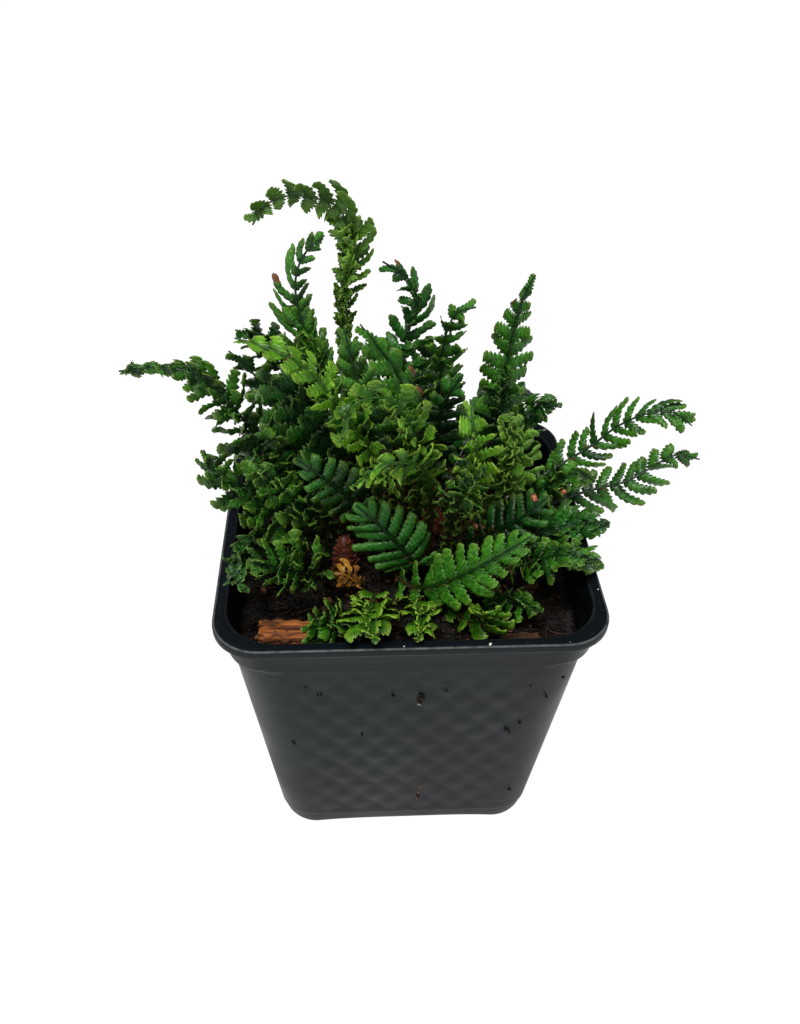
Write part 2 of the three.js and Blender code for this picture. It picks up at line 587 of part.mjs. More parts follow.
    spine: [[3, 20, 108], [5, 26, 124], [7, 29, 134], [9, 30, 143]] },
  { name: 'frond_inner_rim', tone: 'mid', base: [24, -2], face: [0, -0.6, 0.8], start: 0.35, pairs: 6,
    width: 6.5, cup: 0.1, seed: 50, pointed: true,
    spine: [[34, -2, 103], [42, -4, 112], [49, -6, 117], [55, -7, 115]] },
  { name: 'frond_centre_left', tone: 'deep', base: [-6, -13], face: [0, -0.8, 0.5], start: 0.35, pairs: 6,
    width: 8, cup: 0.1, seed: 52, pointed: true,
    spine: [[-12, -12.5, 108], [-18, -18, 121], [-24, -23, 131], [-30, -25, 138]] },
  { name: 'frond_left_middle', tone: 'mid', base: [-19, -3], face: [0, -0.8, 0.5], start: 0.35, pairs: 6,
    width: 8, cup: 0.1, seed: 53, pointed: true,
    spine: [[-25, -15, 110], [-31, -21, 121], [-36, -25, 131], [-41, -27, 139]] },
  { name: 'frond_left_tuft', tone: 'mid', base: [-14, -1], face: [0, -0.9, 0.4], start: 0.35, pairs: 7,
    width: 8, cup: 0.1, seed: 54, pointed: true,
    spine: [[-23, -1, 115], [-31, 0, 128], [-38, 1, 140], [-43, 2, 149], [-48, 1, 155]] },
  { name: 'frond_right_drooping', tone: 'mid', base: [18.5, -11.5], face: [0, -0.4, 0.9], start: 0.3,
    pairs: 7, width: 7, cup: 0.1, seed: 55,
    spine: [[31, -20, 94], [38, -26, 103], [44, -29, 106], [50, -29, 105], [55, -28, 100]] },
  { name: 'frond_front_centre', tone: 'bright', base: [0, -25], face: [0, -0.4, 1], start: 0.3, pairs: 5,
    width: 5.5, cup: 0.1, seed: 56, spine: [[2, -32, 92], [2, -40, 96], [2, -47, 99], [1, -53, 100]] },
  { name: 'frond_top_left', tone: 'mid', base: [-5, 2], face: [0, -0.9, 0.4], start: 0.45, pairs: 6,
    width: 7, cup: 0.1, seed: 57, pointed: true,
    spine: [[-8, -3, 122], [-12, -7, 143], [-15, -8, 156], [-17, -7, 166]] },
  { name: 'frond_middle_back', tone: 'deep', base: [7, 3], face: [0, -0.8, 0.5], start: 0.4, pairs: 6,
    width: 8, cup: 0.1, seed: 58, pointed: true,
    spine: [[9, 3, 118], [9, -2, 134], [11, -6, 145], [14, -8, 152]] },
  { name: 'frond_centre_front', tone: 'mid', base: [11, -13], face: [0, -0.8, 0.5], start: 0.5, pairs: 6,
    width: 7, cup: 0.1, seed: 59, pointed: true,
    spine: [[12, -18, 109], [13, -24, 122], [15, -28, 131], [19, -29, 137]] },
  { name: 'frond_rosette_low', tone: 'bright', base: [-3.5, -7], face: [0, -0.7, 0.7], start: 0.5, pairs: 6,
    width: 6, cup: 0.15, seed: 60, shares: [1, 0.8],
    spine: [[-3, -7, 113], [-5, -16, 126], [-10, -25, 133], [-15, -30, 133]] },
  { name: 'frond_upright_low', tone: 'deep', base: [19, 7], face: [0, -0.9, 0.4], start: 0.35, pairs: 6,
    width: 8, cup: 0.1, seed: 61, pointed: true,
    spine: [[25, 12, 106], [28, 14, 120], [29, 14, 132], [28, 12, 142]] },
  { name: 'frond_withered', tone: 'withered', base: [-13, -18], face: [0, -0.7, 0.7], start: 0.3, pairs: 3,
    width: 5, cup: 0.1, seed: 51, spine: [[-15, -20, 90], [-19, -21, 94], [-22, -21, 94]] },
];

makePot();

let soil = soilBlock();
for (const chip of CHIPS) {
  soil = soil.subtract(toSolid(chipGeometry(chip, CLEAR)));
  addMesh(chip.name, chipGeometry(chip), COLORS[chip.color], ROUGHNESS.bark);
}
for (const crown of CROWNS) {
  soil = soil.subtract(toSolid(crownGeometry(crown, CLEAR)));
  addMesh(crown.name, crownGeometry(crown), COLORS.crown, ROUGHNESS.crown);
}
for (const frond of FRONDS) {
  soil = soil.subtract(toSolid(stipeHole(frond)));
  addMesh(frond.name, frondGeometry(frond), COLORS[frond.tone], ROUGHNESS.frond);
}
addMesh('soil', toGeometry(soil), COLORS.soil, ROUGHNESS.soil);

export default group;
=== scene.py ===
"""Looks for a crisped, congested scaly male fern in a square nursery pot.

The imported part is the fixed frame. The pot, the soil, the bark, the crowns and each frond get a finer piece
that keeps its node's form. Lengths are millimetres in the part's frame, and metres only in the meshes.
"""

import math

import bmesh
import bpy
import numpy as np
from mathutils import Matrix, Vector, noise


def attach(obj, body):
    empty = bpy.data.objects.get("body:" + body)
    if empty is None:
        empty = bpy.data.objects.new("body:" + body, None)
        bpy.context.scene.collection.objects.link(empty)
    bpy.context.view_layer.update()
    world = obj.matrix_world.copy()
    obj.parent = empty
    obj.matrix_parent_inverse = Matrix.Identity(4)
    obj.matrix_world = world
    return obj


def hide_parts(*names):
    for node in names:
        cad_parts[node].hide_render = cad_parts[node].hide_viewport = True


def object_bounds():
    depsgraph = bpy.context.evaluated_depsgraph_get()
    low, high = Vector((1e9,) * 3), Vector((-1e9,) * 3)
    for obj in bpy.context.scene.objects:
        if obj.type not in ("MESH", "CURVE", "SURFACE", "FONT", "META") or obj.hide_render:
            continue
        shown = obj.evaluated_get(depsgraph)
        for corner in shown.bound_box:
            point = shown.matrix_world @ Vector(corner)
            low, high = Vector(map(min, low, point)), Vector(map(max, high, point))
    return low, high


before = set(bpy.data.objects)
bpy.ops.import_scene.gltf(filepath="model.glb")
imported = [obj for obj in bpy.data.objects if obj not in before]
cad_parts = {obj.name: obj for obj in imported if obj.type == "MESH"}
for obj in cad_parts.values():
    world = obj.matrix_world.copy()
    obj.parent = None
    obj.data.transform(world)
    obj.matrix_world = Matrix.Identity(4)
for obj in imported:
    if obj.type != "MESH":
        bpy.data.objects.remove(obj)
cad_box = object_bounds()

MM = 0.001
TURN = 2 * math.pi

# Pot, as in the part's source
POT_HEIGHT = 97
RIM_HALF = 54
RIM_CORNER = 13
LIP_DROP = 2.6
FLANGE_THICK = 1.3
BODY_TOP_HALF = 51.8
BODY_TOP_CORNER = 16
BASE_HALF = 40.5
BASE_CORNER = 11
BASE_BAND = 5
BAND_STEP = 0.6
COLLAR_HEIGHT = 10.5
COLLAR_CORNER = 10.5
WALL = 1.4
FLOOR = 2
DRAIN_RADIUS = 4
DRAIN_PLACE = 24
DRAIN_SIDES = 32
FLANGE_LOW = POT_HEIGHT - FLANGE_THICK
COLLAR_LOW = FLANGE_LOW - COLLAR_HEIGHT

# Pot, finer form: the relief fades out over some length at the ends, at the top and at the base
SIDE_STEPS = 44
CORNER_STEPS = 10
BODY_STEP = 1.5
RELIEF_WIDE = 10.0
RELIEF_HIGH = 11.5
RELIEF_DEPTH = 0.62
RELIEF_TOP = 89
RELIEF_FADE_ENDS = 12
RELIEF_FADE_TOP = 16
RELIEF_FADE_BASE = 4
FOOT_ARCH = 1.0
CORNERS_ONLY = -1
# The stacking shoulders' lower edge: height above it, how much rounder the corners are, and wear with a
# painted edge highlight
COLLAR_EDGE = ((0.3, 2.6, 0), (0.6, 0.5, CORNERS_ONLY), (0.9, 0.2, CORNERS_ONLY), (1.3, 0, 0))

# Soil, as in the part's source
CLEAR = 0.3
SOIL_TOP = 83
SOIL_MOUND = 3
SOIL_BUMP = 0.9

# Soil, finer form, and what lies in it
SOIL_RINGS = 34
SOIL_ROUGH = 0.9
SOIL_CRUMBS = 1100
LIGHT_CRUMBS = 0.06
SOIL_FIBRES = 260
FIBRE_STEPS = 7
LUMP_JOG = 0.28
CHIP_STEPS = 36
CHIP_SIDES = 40
CROWN_SIDES = 18
SCALES_PER_MM = 16
SCALE_HALF_THICK = 0.06

# Fronds, as in the part's source
STIPE_HALF = 0.9
STIPE_DEPTH = 7
STIPE_RISE = 3
RIB_HALF = 0.8
RIB_TIP_HALF = 0.45
RIB_SHARE = 0.6
TIP_NARROWING = 0.8
LENGTH_DRAW = 0.12
CUP_DRAW = 0.14
TIP_LOBE = 0.14
LATE_RISE = 0.7

# Fronds, finer form
LEAF_HALF_THICK = 0.14
MARGIN_HALF_THICK = 0.07
EDGE_ROOM = 0.2
LEAFLET_COLUMNS = np.array([-1, -0.55, 0, 0.55, 1])
LOBE_STEPS = (0, 0.36, 0.72)
LOBE_PEAK = 0.72
LOBE_ROUND = 0.6
TIP_FROM = 0.76
TIP_WIDTH = 0.3
LEAST_ARC = 0.05
MIDRIB_DEPTH = 0.16
MIDRIB_WIDTH = 0.18
LOW_LEAN = 0.25
LINE_STEPS = 60
RIB_SIDES = 6
RIB_ROWS_PER_PAIR = 5
STIPE_ROWS = 9
TUFT_LENGTH = (0.3, 0.55)
TUFT_RISE = (0.3, 2.8)
TUFT_LEAN = (-0.2, 1.2)
TUFT_WIDTH = 0.42
SCALES_PER_STIPE = 22
STIPE_SCALE_LENGTH = (1.0, 2.2)
STIPE_SCALE_WIDTH = (0.35, 0.6)
FLAKE_FACING = (-0.2, -0.6, 0.7)
FLAKE_SPLAY = 0.15
TIP_PITCHES = 1.2
SHORT_WIDTH = 0.75
HOOK_DRAW = (0.7, 1.3)
CURL_DRAW = (-1, 0.7)
TONE_DRAW = (-0.2, 1)
DRY_FROM = 0.62
DRY_FADE = 0.3

# Painted shade on the leaves in the middle of the plant: its centre, its reach along x, y and z, and how much
# darker
CORE = np.array([0, 6, 100])
CORE_REACH = np.array([44, 40, 46])
SHADE = 1.3

# Camera, fitted to the photo, and light
CAMERA_AT = (-15.177, -228.315, 283.949)
CAMERA_PITCH = math.radians(38.873)
CAMERA_YAW = math.radians(3.465)
CAMERA_ROLL = math.radians(1.149)
CAMERA_LENS = 34.16
SENSOR_WIDTH = 36
KEY_FROM = (-0.15, -0.45, 1)
KEY_SPREAD = 24
KEY_POWER = 3.5
FRONT_AT = (-0.2, -0.9, 0.5)
FRONT_AIM = (0, 0, 0.1)
FRONT_SIZE = 0.5
FRONT_POWER = 0.8
WORLD_STRENGTH = 0.1
STAGE_SIZE = 6
FLOOR_GLOW = 0.95


# Meshes


class Skin:
    """Points, faces and vertex attributes of one piece, gathered patch by patch, in millimetres."""

    def __init__(self):
        self.points = []
        self.faces = []
        self.values = {}
        self.count = 0

    def add(self, points, faces, **values):
        points = np.asarray(points, float).reshape(-1, 3)
        self.points.append(points)
        if isinstance(faces, np.ndarray):
            self.faces.extend((faces + self.count).tolist())
        else:
            self.faces.extend([index + self.count for index in face] for face in faces)
        for name in set(self.values) | set(values):
            column = self.values.setdefault(name, [np.zeros(self.count)] if self.count else [])
            column.append(np.broadcast_to(np.asarray(values.get(name, 0.0), float).ravel(), len(points)))
        self.count += len(points)

    def build(self, name, material, slot, *nodes):
        mesh = bpy.data.meshes.new(name)
        mesh.from_pydata((np.concatenate(self.points) * MM).tolist(), [], self.faces)
        for key, columns in self.values.items():
            layer = mesh.attributes.new(key, "FLOAT", "POINT")
            layer.data.foreach_set("value", np.concatenate(columns).astype(np.float32))
        mesh.shade_smooth()
        mesh.materials.append(material)
        piece = bpy.data.objects.new(name, mesh)
        bpy.context.scene.collection.objects.link(piece)
        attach(piece, "root")
        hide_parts(*nodes)
        return piece


def grid_faces(rows, columns, wrap=False):
    """Quads of a grid of points, its rows closed into rings where wrap is true."""
    r, c = np.meshgrid(np.arange(rows - 1), np.arange(columns if wrap else columns - 1), indexing="ij")
    n = (c + 1) % columns
    quads = [r * columns + c, (r + 1) * columns + c, (r + 1) * columns + n, r * columns + n]
    return np.stack(quads, -1).reshape(-1, 4)


def closed_faces(rows, columns):
    """Faces of a closed skin over rings of points: quads between the rings, and one face at each end."""
    faces = grid_faces(rows, columns, wrap=True)[:, ::-1].tolist()
    last = (rows - 1) * columns
    return faces + [list(range(columns))[::-1], list(range(last, last + columns))]


def unit(vectors):
    vectors = np.asarray(vectors, float)
    return vectors / np.maximum(np.linalg.norm(vectors, axis=-1, keepdims=True), 1e-9)


def wiggle(seed, step):
    """A number from -1 to 1 that depends only on a seed and a step, the same as in the part's source."""
    wave = math.sin(seed * 12.9898 + step * 78.233) * 43758.5453
    return 2 * (wave - math.floor(wave)) - 1


def lerp(a, b, share):
    return a + (b - a) * share


def rough(points, scale, octaves):
    """Smooth noise from about -1 to 1 at each point."""
    places = [Vector(point) * scale for point in points]
    return np.array([noise.fractal(place, 1.0, 2.0, octaves) for place in places])


def add_plate(skin, middle, half, **values):
    """A closed thin plate around a grid of middle points. The attribute under is 1 on its lower face."""
    rows, columns = middle.shape[:2]
    normal = unit(np.cross(np.gradient(middle, axis=0), np.gradient(middle, axis=1)))
    half = np.broadcast_to(half, (rows, columns))[..., None]
    upper = (middle + normal * half).reshape(-1, 3)
    lower = (middle - normal * half).reshape(-1, 3)
    count = rows * columns
    quads = grid_faces(rows, columns)
    loop = list(range(columns))
    loop += [r * columns + columns - 1 for r in range(1, rows)]
    loop += [count - 1 - c for c in range(1, columns)]
    loop += [r * columns for r in range(rows - 2, 0, -1)]
    rim = np.array([[a, b, b + count, a + count] for a, b in zip(loop, loop[1:] + loop[:1])])
    faces = np.concatenate([quads, quads[:, ::-1] + count, rim])
    doubled = {}
    for key, value in values.items():
        doubled[key] = np.tile(np.broadcast_to(value, (rows, columns)).ravel(), 2)
    under = np.repeat([0.0, 1.0], count)
    skin.add(np.concatenate([upper, lower]), faces, under=under, **doubled)


def add_tube(skin, centres, across, upward, **values):
    """A closed tube through centres; across and upward are the half axes of its section at each one."""
    angles = np.arange(RIB_SIDES) / RIB_SIDES * TURN
    ring = across[:, None] * np.cos(angles)[None, :, None] + upward[:, None] * np.sin(angles)[None, :, None]
    rows = len(centres)
    spread = {key: np.repeat(np.broadcast_to(value, rows), RIB_SIDES) for key, value in values.items()}
    skin.add(centres[:, None] + ring, closed_faces(rows, RIB_SIDES), **spread)


# Materials


class Paint:
    """A Principled material with short calls for its nodes. Its colour is laid on in layers."""

    def __init__(self, name, roughness=0.5, specular=0.5):
        self.material = bpy.data.materials.new(name)
        self.material.use_nodes = True
        self.tree = self.material.node_tree
        self.shader = self.tree.nodes["Principled BSDF"].inputs
        self.shader["Roughness"].default_value = roughness
        self.shader["Specular IOR Level"].default_value = specular
        self.place = self.node("TexCoord", "Object", {})
        self.base = None

    def feed(self, socket, value):
        if isinstance(value, bpy.types.NodeSocket):
            self.tree.links.new(value, socket)
        elif isinstance(value, (tuple, list)) and len(value) == 3 and len(socket.default_value) == 4:
            socket.default_value = (*value, 1)
        else:
            socket.default_value = value

    def node(self, kind, output, inputs, **settings):
        made = self.tree.nodes.new(f"ShaderNode{kind}")
        for key, value in settings.items():
            setattr(made, key, value)
        for key, value in inputs.items():
            self.feed(made.inputs[key], value)
        return made.outputs[output]

    def attribute(self, name):
        return self.node("Attribute", "Fac", {}, attribute_name=name)

    def stretched(self, scale):
        return self.node("Mapping", "Vector", {"Vector": self.place, "Scale": scale})

    def noise(self, scale, detail, place=None):
        inputs = {"Vector": place or self.place, "Scale": scale, "Detail": detail}
        return self.node("TexNoise", "Fac", inputs)

    def sums(self, operation, a, b=0.0):
        return self.node("Math", 0, {0: a, 1: b}, operation=operation)

    def plus(self, a, b):
        return self.sums("ADD", a, b)

    def times(self, a, b):
        return self.sums("MULTIPLY", a, b)

    def step(self, value, low, high, to_low=0.0, to_high=1.0):
        inputs = dict(enumerate((value, low, high, to_low, to_high)))
        return self.node("MapRange", "Result", inputs, interpolation_type="SMOOTHSTEP")

    def mix(self, share, a, b):
        return self.node("Mix", 2, {"Factor": share, 6: a, 7: b}, data_type="RGBA")

    def over(self, share, color):
        """Lay a colour over the ones before, as far as share says."""
        self.base = self.mix(share, self.base, color)

    def bump(self, height, distance):
        relief = self.node("Bump", "Normal", {"Distance": distance * MM, "Height": height})
        self.feed(self.shader["Normal"], relief)

    def done(self):
        self.feed(self.shader["Base Color"], self.base)
        return self.material


LEAF_TONES = {
    "deep": dict(dark=(0.0015, 0.017, 0.0025), light=(0.026, 0.165, 0.014), margin=(0.1, 0.22, 0.025)),
    "mid": dict(dark=(0.003, 0.026, 0.003), light=(0.05, 0.22, 0.012), margin=(0.17, 0.31, 0.03)),
    "bright": dict(dark=(0.014, 0.075, 0.003), light=(0.15, 0.41, 0.012), margin=(0.29, 0.46, 0.04)),
    "pale": dict(dark=(0.02, 0.065, 0.011), light=(0.13, 0.32, 0.024), margin=(0.22, 0.38, 0.05)),
    "withered": dict(dark=(0.2, 0.08, 0.01), light=(0.62, 0.33, 0.03), margin=(0.5, 0.2, 0.02)),
}
DRY_BROWN = (0.2, 0.075, 0.025)
STIPE_BROWN = (0.024, 0.022, 0.006)
SCALE_BROWN = (0.16, 0.06, 0.02)
FLAKE_BROWN = (0.3, 0.085, 0.03)
ORANGE_BARK = (0.08, 0.022, 0.006), (0.38, 0.12, 0.025)
BROWN_BARK = (0.02, 0.009, 0.005), (0.11, 0.045, 0.018)


def leaf_material(tone):
    """Glossy ribbed leaf: painted shade inside the plant and at each leaflet's base, with a thin light
    margin, a paler lower face and some dry tips.
    """
    colors = LEAF_TONES[tone]
    dark = colors["dark"]
    paint = Paint(f"leaf_{tone}", roughness=0.36, specular=0.42)
    run = paint.attribute("run")
    # Random blotches and a per-leaflet tone, lowered by painted shade in the middle of the plant, mix the
    # dark and light greens
    blotch = paint.times(paint.step(paint.noise(160, 4), 0.3, 0.7), 0.45)
    chance = paint.times(paint.attribute("chance"), 0.55)
    paint.base = paint.mix(paint.step(paint.plus(blotch, chance), 0.05, 0.95), dark, colors["light"])
    groove = paint.step(paint.sums("COSINE", paint.times(paint.attribute("vein"), TURN)), 0.5, 1.0)
    crinkle = paint.noise(650, 3)
    paint.over(paint.step(crinkle, 0.36, 0.6, 0.4, 0.0), dark)
    paint.over(paint.times(groove, 0.28), dark)
    # Darker towards each leaflet's base by the rib: painted shade
    paint.over(paint.step(run, 0.0, 0.45, 0.6, 0.0), dark)
    edge = paint.step(paint.attribute("edge"), 0.75, 1.0, 0.0, 0.6)
    paint.over(paint.times(edge, paint.step(run, 0.2, 0.9, 0.25, 1.0)), colors["margin"])
    paint.over(paint.step(run, 0.6, 1.0, 0.0, 0.35), colors["margin"])
    paint.over(paint.times(paint.attribute("under"), 0.3), LEAF_TONES["pale"]["dark"])
    paint.over(paint.attribute("rib"), dark)
    paint.over(paint.attribute("stipe"), STIPE_BROWN)
    spots = paint.plus(paint.attribute("dry"), paint.noise(700, 4))
    paint.over(paint.step(spots, 0.95, 1.15), DRY_BROWN)
    scale = paint.attribute("scale")
    paint.over(paint.sums("MINIMUM", scale, 1.0), SCALE_BROWN)
    paint.over(paint.step(scale, 1.0, 2.0), FLAKE_BROWN)
    paint.bump(paint.plus(paint.times(groove, -0.25), crinkle), 0.5)
    return paint.done()


def pot_material():
    """Black moulded plastic, dusty and rubbed, with fine scratches, painted shade inside, and a grey line of
    wear and painted highlight under the lip and on the edges.
    """
    paint = Paint("pot_plastic", roughness=0.4, specular=0.13)
    tint = paint.step(paint.noise(14, 2), 0.35, 0.65)
    paint.base = paint.mix(tint, (0.006, 0.011, 0.012), (0.011, 0.011, 0.013))
    cloudy = paint.noise(28, 5)
    paint.over(paint.step(cloudy, 0.35, 0.8, 0.0, 0.4), (0.019, 0.024, 0.025))
    # The inside of the pot darker: painted shade in the hollow
    paint.over(paint.attribute("inside"), (0.003, 0.004, 0.005))
    rim = paint.attribute("rim")
    paint.over(rim, (0.004, 0.006, 0.009))
    # A grey line along the edges, partly wear and partly painted highlight, broken up by noise
    worn = paint.times(paint.attribute("worn"), paint.step(paint.noise(300, 5), 0.3, 0.62, 0.3, 1.0))
    paint.over(paint.times(worn, 0.42), (0.24, 0.25, 0.24))
    scratch = paint.noise(90, 4, paint.stretched((1, 1, 9)))
    paint.over(paint.step(scratch, 0.68, 0.74, 0.0, 0.3), (0.08, 0.08, 0.078))
    strewn = paint.times(paint.step(paint.noise(60, 2), 0.4, 0.65, 0.03, 0.11), rim)
    specks = paint.plus(paint.noise(1300, 2), strewn)
    paint.over(paint.step(specks, 0.79, 0.84, 0.0, 0.4), (0.3, 0.29, 0.27))
    stains = paint.noise(1300, 2, paint.stretched((0.8, 1, 1.1)))
    paint.over(paint.step(stains, 0.74, 0.78, 0.0, 0.8), (0.003, 0.003, 0.003))
    paint.feed(paint.shader["Roughness"], paint.step(cloudy, 0.3, 0.7, 0.34, 0.52))
    paint.bump(paint.noise(900, 4), 0.05)
    return paint.done()


def soil_material():
    """Moist dark potting mix. The attribute light goes from dark crumbs over brown ones to white grains."""
    paint = Paint("soil", specular=0.14)
    tone = paint.step(paint.noise(420, 5), 0.35, 0.68)
    paint.base = paint.mix(tone, (0.0015, 0.001, 0.0008), (0.009, 0.006, 0.0045))
    light = paint.attribute("light")
    paint.over(light, (0.13, 0.065, 0.03))
    paint.over(paint.step(light, 1.0, 4.0), (0.8, 0.78, 0.72))
    paint.bump(paint.noise(900, 6), 0.6)
    return paint.done()


def bark_material(name, dark, light):
    """Fibrous bark, streaked along its grain."""
    paint = Paint(name, roughness=0.75, specular=0.3)
    streak = paint.noise(420, 5, paint.stretched((0.14, 1.4, 1.4)))
    paint.base = paint.mix(paint.step(streak, 0.4, 0.6), dark, light)
    cracks = paint.step(paint.noise(700, 3, paint.stretched((0.1, 1.3, 1.3))), 0.56, 0.64, 0.0, 0.9)
    paint.over(cracks, (0.03, 0.012, 0.006))
    paint.over(paint.step(paint.noise(520, 4), 0.62, 0.72), (0.03, 0.014, 0.008))
    paint.bump(paint.sums("SUBTRACT", streak, cracks), 0.6)
    return paint.done()


def crown_material():
    """Papery red-brown scales, with painted shade on the lower ones."""
    paint = Paint("crown_scales", roughness=0.55)
    paint.base = paint.mix(paint.attribute("chance"), (0.045, 0.012, 0.006), (0.42, 0.085, 0.026))
    paint.over(paint.step(paint.noise(500, 4), 0.4, 0.75, 0.0, 0.6), (0.02, 0.008, 0.005))
    paint.bump(paint.noise(1500, 3), 0.08)
    return paint.done()


# Pot


def square_ring(half, corner, z):
    """Points of a level square with round corners, with the outward direction at each one."""
    points = []
    outward = []
    for quarter in range(4):
        middle = (quarter + 0.5) * math.pi / 2
        centre = np.sign([math.cos(middle), math.sin(middle)]) * (half - corner)
        for step in range(CORNER_STEPS + 1):
            angle = (quarter + step / CORNER_STEPS) * math.pi / 2
            way = np.array([math.cos(angle), math.sin(angle)])
            points.append(centre + corner * way)
            outward.append(way)
        side = np.array([math.cos((quarter + 1) * math.pi / 2), math.sin((quarter + 1) * math.pi / 2)])
        along = np.array([-side[1], side[0]])
        reach = half - corner
        for step in range(1, SIDE_STEPS):
            points.append(side * half + along * lerp(-reach, reach, step / SIDE_STEPS))
            outward.append(side)
    points = np.column_stack([points, np.full(len(points), float(z))])
    return points, np.column_stack([outward, np.zeros(len(outward))])


def body_half(z):
    return lerp(BASE_HALF, BODY_TOP_HALF, z / POT_HEIGHT)


def body_corner(z):
    return lerp(BASE_CORNER, BODY_TOP_CORNER, z / POT_HEIGHT)


def relief(points, outward, z):
    """How far the diamond pattern dips at each point of a ring. It fades out at the faces' ends."""
    along = np.where(np.abs(outward[:, 0]) > 0.5, points[:, 1], points[:, 0])
    flat = np.clip((body_half(z) - body_corner(z) * 0.7 - np.abs(along)) / RELIEF_FADE_ENDS, 0, 1)
    level = np.clip((z - BASE_BAND - 1) / RELIEF_FADE_BASE, 0, 1)
    level *= np.clip((RELIEF_TOP - z) / RELIEF_FADE_TOP, 0, 1)
    p = along / RELIEF_WIDE
    q = z / RELIEF_HIGH
    quilt = np.abs(np.sin(math.pi * (p + q)) * np.sin(math.pi * (p - q)))
    return RELIEF_DEPTH * flat * level * (np.sqrt(quilt) - 1)


def pot_sections():
    """Level sections up the outside, over the lip and down the inside.

    Each has half its width, its corner radius, its height, and how far it is rim, worn or painted with an
    edge highlight, and inside.
    """
    band_half = body_half(BASE_BAND) - BAND_STEP
    lip_inner = RIM_HALF - FLANGE_THICK
    lip_corner = RIM_CORNER - FLANGE_THICK
    lip_low = POT_HEIGHT - LIP_DROP
    mouth = body_half(POT_HEIGHT) - WALL
    mouth_corner = BODY_TOP_CORNER - WALL
    sections = [
        (BASE_HALF - 1.5, BASE_CORNER - 1, 0.0),
        (BASE_HALF - 0.6, BASE_CORNER, 0.3),
        (BASE_HALF - 0.3, BASE_CORNER, 1.2),
        (band_half, BASE_CORNER, BASE_BAND - 0.3),
        (band_half + 0.05, BASE_CORNER, BASE_BAND, 0, 0.3),
        (body_half(BASE_BAND + 0.8), body_corner(BASE_BAND), BASE_BAND + 0.7, 0, 0.2),
    ]
    rings = int((COLLAR_LOW - BASE_BAND - 1.5) / BODY_STEP)
    for i in range(rings + 1):
        z = lerp(BASE_BAND + 1.5, COLLAR_LOW, i / rings)
        sections.append((body_half(z), body_corner(z), z))
    for rise, corner, worn in COLLAR_EDGE:
        z = COLLAR_LOW + rise
        sections.append((body_half(z), COLLAR_CORNER + corner, z, 0, worn))
    sections += [
        (body_half(FLANGE_LOW - 0.6), COLLAR_CORNER, FLANGE_LOW - 0.6),
        (body_half(FLANGE_LOW) + 0.2, COLLAR_CORNER, FLANGE_LOW),
        (lip_inner - 0.2, lip_corner, FLANGE_LOW),
        (lip_inner, lip_corner, FLANGE_LOW - 0.2),
        (lip_inner, lip_corner, lip_low + 0.2),
        (lip_inner + 0.2, lip_corner, lip_low),
        (RIM_HALF - 0.3, RIM_CORNER, lip_low, 0, 0.3),
        (RIM_HALF - 0.06, RIM_CORNER, lip_low + 0.2, 0, 0.3),
        (RIM_HALF - 0.03, RIM_CORNER, lip_low + 0.5),
        (RIM_HALF - 0.02, RIM_CORNER, POT_HEIGHT - 0.8),
        (RIM_HALF - 0.06, RIM_CORNER, POT_HEIGHT - 0.45, 0.3),
        (RIM_HALF - 0.22, RIM_CORNER, POT_HEIGHT - 0.2, 0.8, 0.7),
        (RIM_HALF - 0.5, RIM_CORNER - 0.3, POT_HEIGHT - 0.06, 1, 1),
        (RIM_HALF - 0.8, RIM_CORNER - 0.5, POT_HEIGHT - 0.02, 1),
        (RIM_HALF - 1.6, RIM_CORNER - 0.8, POT_HEIGHT - 0.02, 1),
        (mouth + 0.8, mouth_corner, POT_HEIGHT - 0.05, 1, 0, 0.1),
        (mouth + 0.25, mouth_corner, POT_HEIGHT - 0.35, 1, 0.2, 0.2),
        (mouth, mouth_corner, POT_HEIGHT - 1.1, 0.5, 0, 0.6),
    ]
    for z in (POT_HEIGHT - 4, POT_HEIGHT - 9, SOIL_TOP, SOIL_TOP - 12, FLOOR):
        sections.append((body_half(z) - WALL, body_corner(z) - WALL, z, 0, 0, 1))
    return [(*section, 0, 0, 0)[:6] for section in sections]


def make_pot():
    points = []
    marks = {"rim": [], "worn": [], "inside": []}
    for half, corner, z, rim, worn, inside in pot_sections():
        ring, outward = square_ring(half, corner, z)
        if BASE_BAND + 1 < z < COLLAR_LOW and not inside:
            ring += outward * relief(ring, outward, z)[:, None]
        if z < BASE_BAND and not inside:
            along = np.minimum(np.abs(ring[:, 0]), np.abs(ring[:, 1])) / (BASE_HALF - BASE_CORNER)
            ring[:, 2] += FOOT_ARCH * np.clip(1 - along ** 4, 0, 1) * (1 - z / BASE_BAND)
        points.append(ring)
        at_corner = np.clip(4 * np.abs(outward[:, 0] * outward[:, 1]), 0, 1)
        line = at_corner if worn == CORNERS_ONLY else worn
        for key, value in zip(marks, (rim, line, inside)):
            marks[key].append(np.full(len(ring), 1.0) * value)
    skin = Skin()
    marks = {key: np.concatenate(value) for key, value in marks.items()}
    skin.add(np.concatenate(points), closed_faces(len(points), len(points[0])), **marks)
    cut_drains(skin.build("nursery_pot", pot_material(), "pot_plastic", "pot"))


